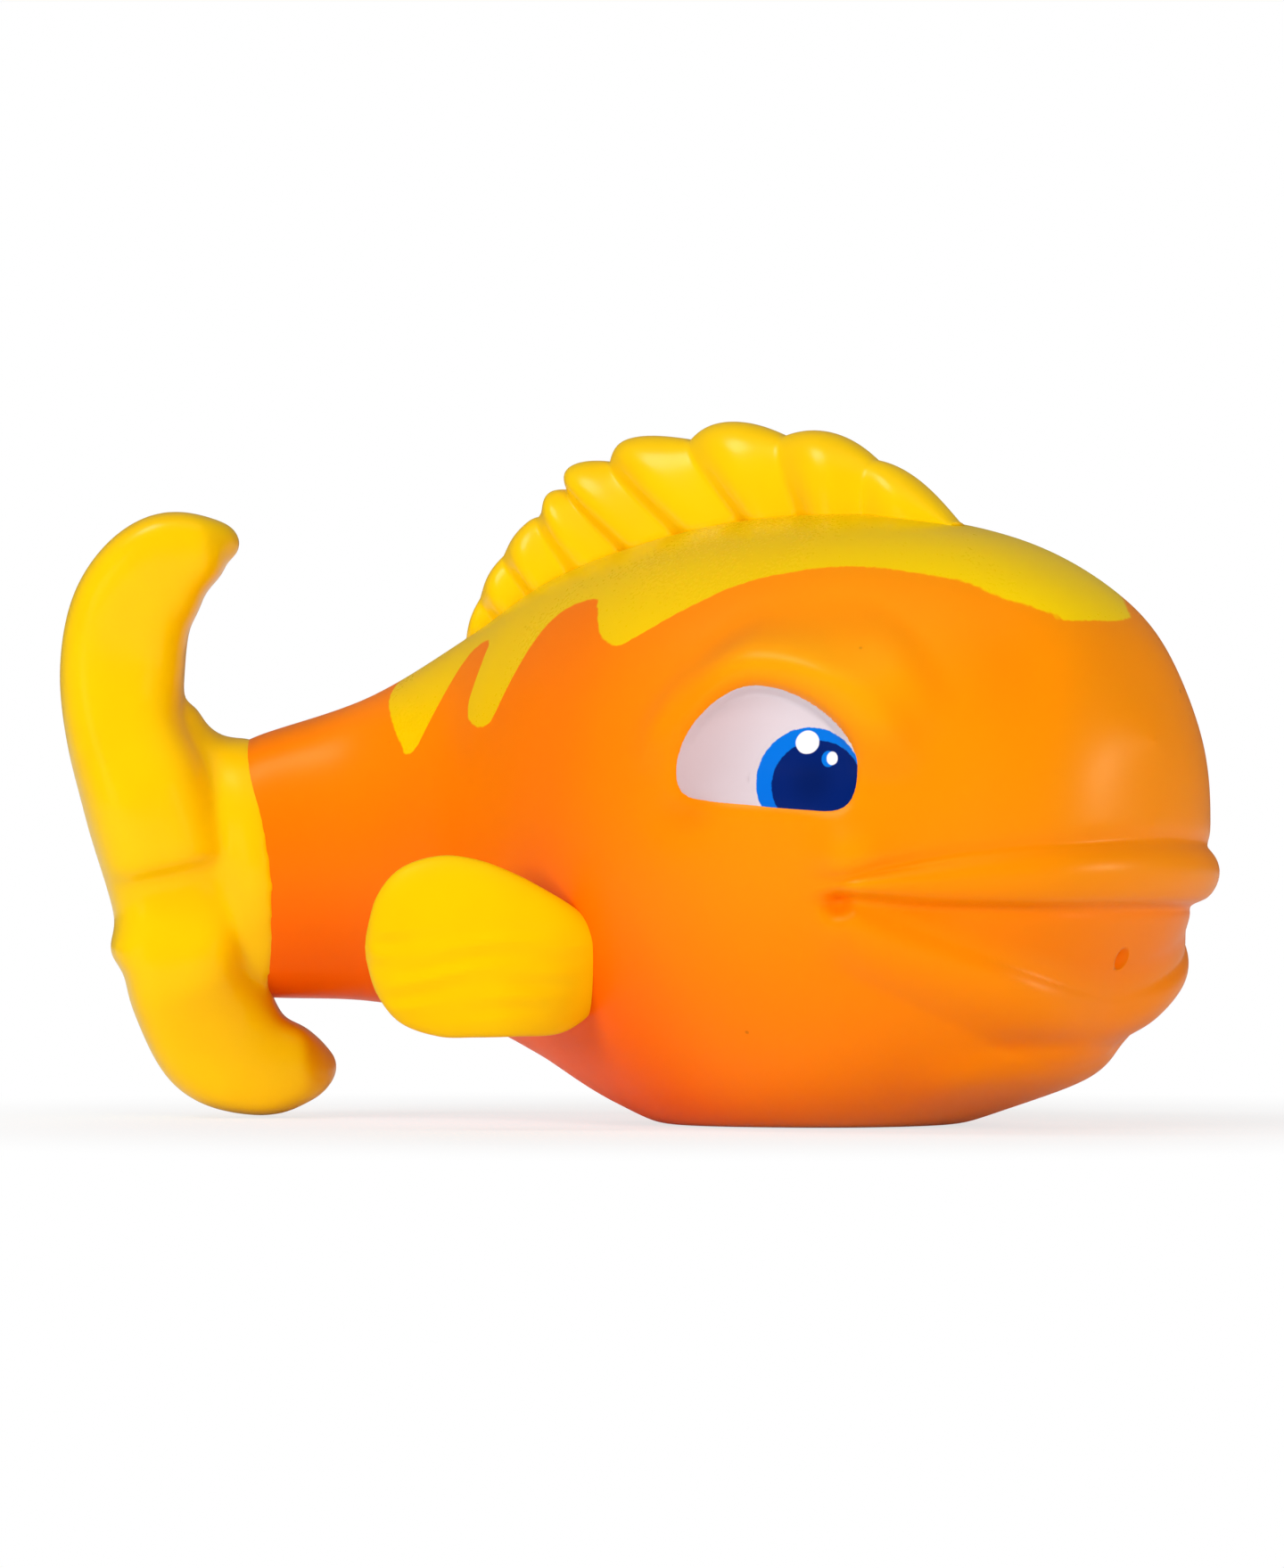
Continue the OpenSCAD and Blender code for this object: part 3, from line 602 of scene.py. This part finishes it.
def eye_enamel():
    material, shader, flow = new_material("printed_eye_enamel")
    spot = spot_of(flow)
    ex, ez, _ = apart(flow, flow.add("Attribute", out="Vector", attribute_name="eye_place"))
    cloud = noise(flow, spot, scale=160, detail=2)
    grain = noise(flow, spot, scale=1800, detail=2)
    fuzz = (noise(flow, spot, scale=2400, detail=2) - 0.5) * 0.05

    def disc(x, z, rx, rz, soft=0.05):
        """1 inside an ellipse, 0 outside it."""
        far = (((ex - x) / rx) ** 2.0 + ((ez - z) / rz) ** 2.0) ** 0.5 + fuzz
        return 1 - far.over(1 - soft / rz, 1 + soft / rz)

    iris = mix(flow, (ez + 6) / 9, IRIS_LOW_BLUE, IRIS_BLUE)
    pupil = mix(flow, disc(3.5, -2.5, 1.6, 1.5, 1.2), PUPIL_BLUE, PUPIL_MID_BLUE)
    prints = [
        (disc(3.15, -2.2, 4.85, 4.35), iris),
        (disc(3.9, -2.55, 4.1, 3.6), pupil),
        (disc(4.95, -0.5, 0.62, 0.68), IRIS_BLUE),
        (disc(2.95, 0.9, 1.1, 0.98), EYE_GLINT),
        (disc(5.3, -0.45, 0.5, 0.56), EYE_GLINT),
    ]
    # The eye's white darkens toward its rear: painted shade, with a little random unevenness
    colour = mix(flow, ex.over(-11, 3) + (cloud - 0.5) * 0.2, EYE_PAINTED_SHADE, EYE_WHITE)
    for share, ink in prints:
        colour = mix(flow, share, colour, ink)
    relief = relief_of(flow, strength=0.2, height=grain * 0.012)
    set_shader(shader, flow, Base_Color=colour, Roughness=0.34 + (grain - 0.5) * 0.1,
               Normal=relief, Specular_IOR_Level=0.12)
    return material


def squeaker_plastic():
    material, shader, flow = new_material("moulded_squeaker_plastic")
    spot = spot_of(flow)
    cloud = noise(flow, spot, scale=260, detail=3)
    grain = noise(flow, spot, scale=3200, detail=2)
    colour = mix(flow, cloud.over(0.3, 0.75), PLASTIC_WHITE, PLASTIC_SHADE)
    relief = relief_of(flow, strength=0.3, height=grain * 0.02)
    set_shader(shader, flow, Base_Color=colour, Roughness=0.42 + (cloud - 0.5) * 0.2, Normal=relief)
    return material


def reed_film():
    material, shader, flow = new_material("amber_reed_film")
    lines = {"Vector": spot_of(flow), "Scale": 900.0, "Distortion": 2.0, "Detail": 2.0}
    drawn = flow.add("TexWave", lines, bands_direction="Y")
    colour = mix(flow, drawn, FILM_AMBER, FILM_BROWN)
    set_shader(shader, flow, Base_Color=colour, Roughness=0.22 + drawn * 0.12)
    return material


# ---- Body ----

BODY_ALONG, BODY_ROUND = 250, 380
SQUIRT_PLACE, SQUIRT_R = (27, 0, 14.6), 0.9
SQUEAKER_PLACE = (-9, 0, 0)
FLANGE_R, FLANGE_T, TUBE_R, TUBE_LEN = 6.7, 1.4, 5.5, 14


def shape_body():
    """Skin of the body: a grid laid round the sections, with the face, flat foot and bend.
    Its attributes keep each place before the face and the bend, and how far the face raised it."""
    made = take_grid(BODY_ALONG, BODY_ROUND)
    straight = made.verts.layers.float_vector.new("straight")
    raised = made.verts.layers.float.new("raised")
    forms = {}
    for v in made.verts:
        u, turn = v.co.x, v.co.y * FULL_TURN
        t = min(u * (BODY_ALONG + 1) / BODY_ALONG, 1) * LAST_SECTION
        if t not in forms:
            forms[t] = form(t)
        f = forms[t]
        # The last ring is drawn in to a point, which closes the stem
        ring = 0 if u > 1 - 0.5 / BODY_ALONG else 1
        side = signed_power(math.cos(turn), 2 / ROUND_N) * ring
        level = signed_power(math.sin(turn), 2 / ROUND_N) * ring
        x, y = f.x, f.half * side
        z = f.waist + level * (f.top - f.waist if level > 0 else f.waist - f.bottom)
        v[straight] = (x, y, z)
        x, y, z, v[raised] = push(x, y, z)
        v.co = bend(x, y, rest_on_floor(z)) * MM
    close_up(made)
    return make_piece(made, "fish_body")


def turned(name, outline, place, direction, steps):
    """A solid of revolution: outline is (radius, height) from the axis round to the axis."""
    made = bmesh.new()
    corners = [made.verts.new((r * MM, 0, h * MM)) for r, h in outline]
    edges = [made.edges.new(pair) for pair in zip(corners, corners[1:])]
    bmesh.ops.spin(made, geom=corners + edges, cent=(0, 0, 0), axis=(0, 0, 1),
                   angle=FULL_TURN, steps=steps, use_merge=True)
    close_up(made)
    turn = Vector((0, 0, 1)).rotation_difference(Vector(direction)).to_matrix().to_4x4()
    bmesh.ops.transform(made, matrix=Matrix.Translation(Vector(place) * MM) @ turn,
                        verts=made.verts)
    return make_piece(made, name)


def build_body(material):
    """Body with its squirt hole and the squeaker's seat."""
    piece = shape_body()
    hole = [(0, -8), (SQUIRT_R, -8), (SQUIRT_R, 5), (0, 5)]
    seat = [(0, -1), (FLANGE_R, -1), (FLANGE_R, FLANGE_T), (TUBE_R, FLANGE_T), (TUBE_R, TUBE_LEN),
            (0, TUBE_LEN)]
    cut(piece,
        turned("squirt_cutter", hole, SQUIRT_PLACE, (1, 0, 0), steps=40),
        turned("squeaker_cutter", seat, SQUEAKER_PLACE, (0, 0, 1), steps=64))
    fit(piece, "body_shell", material)


# ---- Eyes ----

EYE_RINGS, EYE_ROUND = 40, 144
# Share of the rings on the dome; the others are its back
EYE_FRONT_SHARE = 0.75
# Middle of the piece from the eye's centre, and the farthest that its rim is looked for
EYE_MID_X, EYE_MID_Z, EYE_FARTHEST = -1.2, -0.2, 14.0
# How far the rim goes under the lids and lies below the skin; the dome's rise and its run
EYE_TUCK, EYE_SUNK, EYE_DOME, EYE_DOME_RUN, EYE_THICK = 0.55, 0.3, 0.2, 4, 1
# Section up to which a point of the head is looked for
HEAD_END = 7.0


def head_point(a, z, out):
    """Point of the head, turned a degrees from the front at height z, and out beyond its skin."""
    def skin(t):
        f = form(t)
        return f.x, half_width(f, z)

    def short_of(t):
        x, y = skin(t)
        return math.degrees(math.atan2(y, x - HEAD_X)) < a

    x, y, _, _ = push(*skin(search(0.0, HEAD_END, short_of)), z, seat=False)
    r = math.hypot(x - HEAD_X, y)
    return x + out / r * (x - HEAD_X), y + out / r * y, z


def eye_reach(dx, dz):
    """How far the eye piece reaches from its middle in one direction."""
    def inside(far):
        return eye_edge(EYE_MID_X + far * dx, EYE_MID_Z + far * dz) <= EYE_TUCK

    return search(0.0, EYE_FARTHEST, inside, steps=26)


def build_eye(name, node, side, material):
    """Eye piece: a dome that fills its seat, its rim tucked under the lids."""
    made = take_grid(EYE_RINGS, EYE_ROUND)
    place = made.verts.layers.float_vector.new("eye_place")
    for v in made.verts:
        dx, dz = math.cos(v.co.y * FULL_TURN), math.sin(v.co.y * FULL_TURN)
        back = v.co.x > EYE_FRONT_SHARE
        share = (1 - v.co.x) / (1 - EYE_FRONT_SHARE) if back else v.co.x / EYE_FRONT_SHARE
        reach = share * eye_reach(dx, dz)
        ex, ez = EYE_MID_X + reach * dx, EYE_MID_Z + reach * dz
        v[place] = (ex, ez, 0)
        out = EYE_DOME * ramp(eye_edge(ex, ez), 0, -EYE_DOME_RUN) - EYE_SUNK
        if back:
            out -= EYE_THICK
        turn = EYE_TURN - math.degrees(ex / (BODY_W / 2))
        x, y, z = head_point(turn, EYE_Z + ez, out)
        v.co = Vector((x, y * side, z)) * MM
    close_up(made)
    fit(make_piece(made, name), node, material)


# ---- Dorsal fin ----

DORSAL_FRONT, DORSAL_REAR = 12, -39
DORSAL_H, DORSAL_T, DORSAL_SINK = 10.4, 8, 0.3
DORSAL_MIN_H, DORSAL_MIN_T = 0.6, 0.5
# Ends of the lobes from the rear, as shares of the fin's length
LOBE_ENDS = [0, 0.065, 0.138, 0.22, 0.334, 0.45, 0.587, 0.703, 0.833, 1]
LOBES = len(LOBE_ENDS) - 1
LOBE_STEPS, DORSAL_OVER = 24, 64


def dorsal_point(u, full, a):
    """Point of the dorsal fin: u along it from the rear, full from 0 between lobes to 1 on one,
    and a over it from side to side."""
    arch = math.sin(math.pi * u ** (0.8 + 0.15 * ramp(u, 0.08, 0.3)))
    rise = DORSAL_H * arch ** (1 if u < 0.48 else 0.8)
    notch = 0.04 + 0.1 * ramp(u, 0.2, 0.05)
    h = max(DORSAL_MIN_H, rise * (1 - notch + notch * full ** 0.7))
    h *= max(0, math.cos(a)) ** 0.6
    thick = DORSAL_T / 2 * (0.7 + 0.3 * full) * min(1, rise / DORSAL_H + 0.35)
    lean = (0.6 + 0.4 * ramp(u, 0.2, 0.2)) * (1 - 0.9 * ramp(u, 0.5, 0.36))
    x = DORSAL_REAR + (DORSAL_FRONT - DORSAL_REAR) * u - lean * h
    y = max(DORSAL_MIN_T, thick) * signed_power(math.sin(a), 0.85)
    return bend(x, y, form_at(x).top + h - DORSAL_SINK - (y / 4) ** 2)


def build_dorsal(material):
    """Dorsal fin: a row of puffy lobes that lean back, the rear ones most."""
    made = take_grid(LOBES * LOBE_STEPS, DORSAL_OVER)
    for v in made.verts:
        k = min(LOBES - 1, int(v.co.x * LOBES + 1e-6))
        share = v.co.x * LOBES - k
        u = LOBE_ENDS[k] + (LOBE_ENDS[k + 1] - LOBE_ENDS[k]) * share
        full = (0.5 - 0.5 * math.cos(FULL_TURN * share)) ** 0.7
        v.co = dorsal_point(max(0.002, min(0.995, u)), full, (v.co.y - 0.5) * math.pi) * MM
    cap_and_close(made)
    fit(make_piece(made, "dorsal_lobes"), "dorsal_fin", material)


# ---- Side fins ----

# From root to tip: shares of the fin's length, height above and below its middle, and thickness
SIDE_ROWS = [
    (0, 0.2, 0.58, 0.6), (0.05, 0.36, 0.8, 0.8), (0.14, 0.56, 0.95, 0.92), (0.3, 0.8, 0.97, 1),
    (0.48, 0.96, 0.98, 1), (0.66, 1, 0.97, 0.97), (0.84, 0.86, 0.82, 0.85), (0.95, 0.55, 0.5, 0.6),
    (1, 0.12, 0.12, 0.2),
]
SIDE_LAST = len(SIDE_ROWS) - 1
SIDE_X, SIDE_Z, SIDE_LEN, SIDE_H, SIDE_T = -9.5, 15.5, 18.3, 15.6, 4.8
SIDE_FLARE = math.radians(30)
# How far the root sinks into the flank, its share forward, and the share that the tip adds
SIDE_SINK, SIDE_LEAD, SIDE_TIP = 2.6, 0.75, 0.004
RIDGE_H, RIDGE_PITCH, RIDGE_SLANT = 0.22, 2.7, 0.16
SIDE_ALONG, SIDE_ROUND = 90, 96


def ridge_at(t, reach, up):
    """Height of the shallow ridges that run along the lower part of the fin."""
    wave = math.sin(up * RIDGE_PITCH + RIDGE_SLANT * reach + 1.1 * math.sin(t * 1.3))
    wave *= 0.6 + 0.4 * math.sin(t * 2.1 + up)
    return RIDGE_H * wave * ramp(t, 0, 3) * ramp(t, 8, -2) * ramp(up, 3, -3) * ramp(up, -7, 2)


def build_side_fin(name, node, side, material):
    """Side fin: a puffy paddle whose root follows the flank."""
    made = take_grid(SIDE_ALONG, SIDE_ROUND)
    plain = form_at(SIDE_X)
    root = half_width(plain, SIDE_Z)
    c, s = math.cos(SIDE_FLARE), math.sin(SIDE_FLARE)
    for v in made.verts:
        t, a = v.co.x * SIDE_LAST, v.co.y * FULL_TURN
        share, above, below, thick = along_rows(SIDE_ROWS, t)
        if v.co.x > 1 - 0.5 / SIDE_ALONG:
            # The last ring is drawn in to a point
            share, above, below, thick = share + SIDE_TIP, 0, 0, 0
        reach = SIDE_LEN * share
        up = SIDE_H / 2 * (above if a < math.pi else below) * math.sin(a)
        out = (SIDE_T / 2 * thick + ridge_at(t, reach, up)) * math.cos(a)
        z = SIDE_Z + up
        sunk = 1 - ramp(t, 0, 3.5)
        tuck = half_width(plain, z) - root
        x = SIDE_X - reach * c + out * s + SIDE_LEAD * tuck * sunk
        y = root + (tuck - SIDE_SINK) * sunk + reach * s + out * c + SIDE_T / 4
        v.co = Vector((x, y * side, z)) * MM
    cap_and_close(made)
    fit(make_piece(made, name), node, material)


# ---- Tail fin ----

# Crescent from its upper tip to its lower one: place behind the joint, height, half width
TAIL_ROWS = [
    (1.6, 50.2, 0.6), (3.4, 50.55, 2.45), (7.6, 49.15, 4.65), (10.9, 45.3, 5.3), (12, 39.8, 5.5),
    (11.65, 34, 5.3), (9.4, 27.8, 6), (7.35, 20.9, 6), (6.7, 15.9, 5.9), (5.9, 11, 5.3),
    (3.1, 6.9, 5.95), (-0.5, 4.8, 4.85), (-4, 4.6, 3.5), (-5.9, 4.8, 2.1), (-6.9, 5.1, 0.5),
]
TAIL_LAST = len(TAIL_ROWS) - 1
# Collar from the stem back: place behind the joint, half width, top, bottom
COLLAR_ROWS = [
    (0, 8.6, 33.6, 10), (1.6, 8.5, 33.5, 10), (3, 7.7, 33.8, 10.4), (4.4, 6.4, 34.8, 11.2),
    (5.8, 5.2, 36.6, 12.5), (8.5, 4, 36, 16),
]
COLLAR_LAST = len(COLLAR_ROWS) - 1
TAIL_T, TAIL_FOOT_Z, TAIL_SCALE = 9, 0.6, 52 / 52.2
TAIL_MID_Z, TAIL_CURL = 22.4, 3.5
STEP_SLANT, STEP_SHARE = 0.22, 0.19
TAIL_ALONG, COLLAR_ALONG, TAIL_ROUND = 200, 60, 80
# Gap that is closed at the seams, in metres
TAIL_GAP = 2e-6
TAIL_VOXEL, TAIL_SMOOTHINGS = 0.34, 20


def tail_point(t, a):
    """Point of the crescent: t along its rows, a round its section."""
    back, mid_z, half = along_rows(TAIL_ROWS, t)
    ahead = along_rows(TAIL_ROWS, min(t + 0.05, TAIL_LAST))
    behind = along_rows(TAIL_ROWS, max(t - 0.05, 0))
    dx, dz = ahead[0] - behind[0], ahead[1] - behind[1]
    length = math.hypot(dx, dz)
    square = 0.62 - 0.14 * ramp(mid_z, 19, -4) * ramp(mid_z, 6, 4)
    across = signed_power(math.cos(a), square) * half
    z = mid_z + dx / length * across

    # Thicker where the collar meets it, with a slanting step down below the middle
    root = bump(mid_z - 24, 11) if mid_z > 24 else bump(max(0, 16 - mid_z), 7)
    thick = min(TAIL_T / 2 * (1 + 1.2 * root), 1.5 * half)
    below = TAIL_MID_Z - STEP_SLANT * across - z
    step = 1 - STEP_SHARE * ramp(below, 0, 1.0) * ramp(below, 10, -8)
    out = signed_power(math.sin(a), square) * thick * step

    # Knuckle on the rear edge, and the tips curled to one side
    knuckle = 0.65 * bump(z - 14.8, 1.4) - 0.25 * bump(z - 17.2, 1.4) - 0.2 * bump(z - 12.5, 1)
    across += knuckle * ramp(math.cos(a), 0, 1)
    curl = TAIL_CURL * ((mid_z - TAIL_MID_Z) / 28) ** 2
    height = mid_z + dx / length * across - TAIL_FOOT_Z
    return back - dz / length * across, out + curl, TAIL_FOOT_Z + height * TAIL_SCALE


def collar_point(u, a):
    """Point of the collar: u along it, a round it; its front edge laps the stem unevenly."""
    back, half, top, bottom = along_rows(COLLAR_ROWS, u * COLLAR_LAST)
    z = (top + bottom) / 2 + (top - bottom) / 2 * math.sin(a)
    lap = -0.8 - ramp(z, 10.5, 3) + 1.25 * ramp(z, 19, 12) + 1.2 * ramp(z, 32, 2)
    return back + lap * (1 - u), half * math.cos(a), z


def build_tail(material):
    """Tail fin: crescent and collar grown together."""
    made = take_grid(TAIL_ALONG, TAIL_ROUND)
    for v in made.verts:
        v.co = Vector(tail_point(v.co.x * TAIL_LAST, v.co.y * FULL_TURN)) * MM
    cap_and_close(made, TAIL_GAP)

    collar = take_grid(COLLAR_ALONG, TAIL_ROUND)
    for v in collar.verts:
        v.co = Vector(collar_point(v.co.x, -v.co.y * FULL_TURN)) * MM
    cap_and_close(collar, TAIL_GAP)
    spare = bpy.data.meshes.new("collar")
    collar.to_mesh(spare)
    collar.free()
    made.from_mesh(spare)
    bpy.data.meshes.remove(spare)

    joint = Matrix.Translation(bend(JOINT_X, 0, 0) * MM)
    swing = Matrix.Rotation(math.pi + TAIL_SWING, 4, "Z")
    bmesh.ops.transform(made, matrix=joint @ swing, verts=made.verts)
    piece = make_piece(made, "tail_crescent")
    grown = piece.modifiers.new("grow", "REMESH")
    grown.mode = "VOXEL"
    grown.voxel_size = TAIL_VOXEL * MM
    apply_modifiers(piece)

    made = bmesh.new()
    made.from_mesh(piece.data)
    for _ in range(TAIL_SMOOTHINGS):
        bmesh.ops.smooth_vert(made, verts=made.verts, factor=0.5,
                              use_axis_x=True, use_axis_y=True, use_axis_z=True)
    bmesh.ops.recalc_face_normals(made, faces=made.faces)
    made.to_mesh(piece.data)
    made.free()
    set_smooth(piece.data)
    fit(piece, "tail_fin", material)


# ---- Stage ----

CAMERA_TURN, CAMERA_FAR, SENSOR_W = math.radians(37), 900, 36
# Width that the picture shows at the fish, and the picture's middle from the origin
VIEW_W, VIEW_RIGHT, VIEW_UP = 135.3, -17.7, 29.4
LAMP_AIM_UP = 28

# Lamps: degrees to the right of the camera, degrees up, size in metres, watts, seen in gloss
LAMPS = {
    "key": (20, 11, 0.28, 2.5, False),
    "fill": (-48, 11, 0.28, 2.6, False),
    "top": (0, 72, 0.6, 1.1, False),
    "back": (180, 22, 0.5, 2.2, False),
    "right_box": (82, 5, 0.12, 0.9, True),
    "left_box": (-72, 55, 0.26, 1.3, True),
}
WORLD_LIGHT = 0.14
FLOOR_LIGHT, FLOOR_DARK = (0.93, 0.93, 0.93), (0.91, 0.91, 0.91)
# Share of plain white that the camera sees close to the fish
FLOOR_WHITE_NEAR = 0.72
# In metres: the lamps' distance, the floor's radius, depth and middle,
# and where its white begins and is full
LAMP_FAR = 0.8
FLOOR_R, FLOOR_DROP, FLOOR_MID_X = 3, 0.00005, -0.015
FLOOR_NEAR, FLOOR_FAR = 0.03, 0.1


def set_camera(right, up, toward):
    """Level camera off the fish's right front, for a 1440 by 1759 frame."""
    data = bpy.data.cameras.new("camera")
    data.sensor_width = SENSOR_W
    data.lens = SENSOR_W * CAMERA_FAR / VIEW_W
    data.clip_start, data.clip_end = 0.01, 20
    camera = bpy.data.objects.new("camera", data)
    place = right * VIEW_RIGHT + up * VIEW_UP - toward * CAMERA_FAR
    camera.matrix_world = Matrix((
        (right.x, up.x, -toward.x, place.x * MM),
        (right.y, up.y, -toward.y, place.y * MM),
        (right.z, up.z, -toward.z, place.z * MM),
        (0, 0, 0, 1)))
    bpy.context.scene.collection.objects.link(camera)
    bpy.context.scene.camera = camera


def set_floor():
    """Pale floor, white to the camera away from the fish, that keeps the fish's shadow."""
    made = bmesh.new()
    bmesh.ops.create_circle(made, cap_ends=True, segments=96, radius=FLOOR_R,
                            matrix=Matrix.Translation((0, 0, -FLOOR_DROP)))
    floor = make_piece(made, "floor", smooth=False)
    material, shader, flow = new_material("pale_floor")
    spot = spot_of(flow)
    x, y, _ = apart(flow, spot)
    tone = mix(flow, noise(flow, spot, scale=8, detail=2), FLOOR_LIGHT, FLOOR_DARK)
    set_shader(shader, flow, Base_Color=tone, Roughness=0.8)
    far = ((x - FLOOR_MID_X) ** 2.0 + y ** 2.0) ** 0.5
    white = FLOOR_WHITE_NEAR + (1 - FLOOR_WHITE_NEAR) * far.over(FLOOR_NEAR, FLOOR_FAR)
    seen = flow.add("LightPath", out="Is Camera Ray")
    glow = flow.add("Emission", {"Color": (1, 1, 1, 1), "Strength": 1.0})
    paper = Flow(flow.tree, shader.outputs[0])
    both = flow.add("MixShader", {0: seen * white, 1: paper, 2: glow})
    flow.feed(flow.tree.nodes["Material Output"].inputs["Surface"], both)
    floor.data.materials.append(material)


def set_world():
    """Dim white world that the camera sees as plain white."""
    world = bpy.data.worlds.new("studio")
    world.use_nodes = True
    bpy.context.scene.world = world
    flow = Flow(world.node_tree)
    seen = flow.add("LightPath", out="Is Camera Ray")
    back = world.node_tree.nodes["Background"]
    flow.feed(back.inputs["Color"], (1, 1, 1, 1))
    flow.feed(back.inputs["Strength"], WORLD_LIGHT + (1 - WORLD_LIGHT) * seen)


def set_lamps(right, up, toward):
    aim = (right * VIEW_RIGHT + up * LAMP_AIM_UP) * MM
    for name, (side, rise, size, power, gloss) in LAMPS.items():
        side, rise = math.radians(side), math.radians(rise)
        level = right * math.sin(side) - toward * math.cos(side)
        place = aim + LAMP_FAR * (math.cos(rise) * level + up * math.sin(rise))
        data = bpy.data.lights.new(name, "AREA")
        data.shape = "DISK"
        data.size = size
        data.energy = power
        lamp = bpy.data.objects.new(name, data)
        lamp.location = place
        lamp.rotation_euler = (aim - place).to_track_quat("-Z", "Y").to_euler()
        lamp.visible_glossy = gloss
        bpy.context.scene.collection.objects.link(lamp)


def set_stage():
    right = Vector((math.cos(CAMERA_TURN), math.sin(CAMERA_TURN), 0))
    up = Vector((0, 0, 1))
    toward = up.cross(right)
    set_camera(right, up, toward)
    set_floor()
    set_world()
    set_lamps(right, up, toward)


# ---- Build ----

bpy.context.scene.view_settings.view_transform = "Standard"
set_stage()

gloss_yellow = yellow_vinyl("glossy_yellow_vinyl", FIN_YELLOW, FIN_SHADE, rough=0.32, coat=0.25)
satin_yellow = yellow_vinyl("satin_yellow_vinyl", SIDE_YELLOW, FIN_SHADE, rough=0.44, coat=0.0)
enamel = eye_enamel()

build_body(orange_vinyl())
build_eye("right_eye_dome", "right_eye", -1, enamel)
build_eye("left_eye_dome", "left_eye", 1, enamel)
build_dorsal(gloss_yellow)
build_side_fin("right_paddle", "right_side_fin", -1, satin_yellow)
build_side_fin("left_paddle", "left_side_fin", 1, satin_yellow)
build_tail(gloss_yellow)

plastic, film = squeaker_plastic(), reed_film()
for node, finish in (("squeaker_case", plastic), ("squeaker_grille", plastic),
                     ("reed_block", plastic), ("reed_wedge", plastic), ("reed", film)):
    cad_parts[node].data.materials.clear()
    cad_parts[node].data.materials.append(finish)
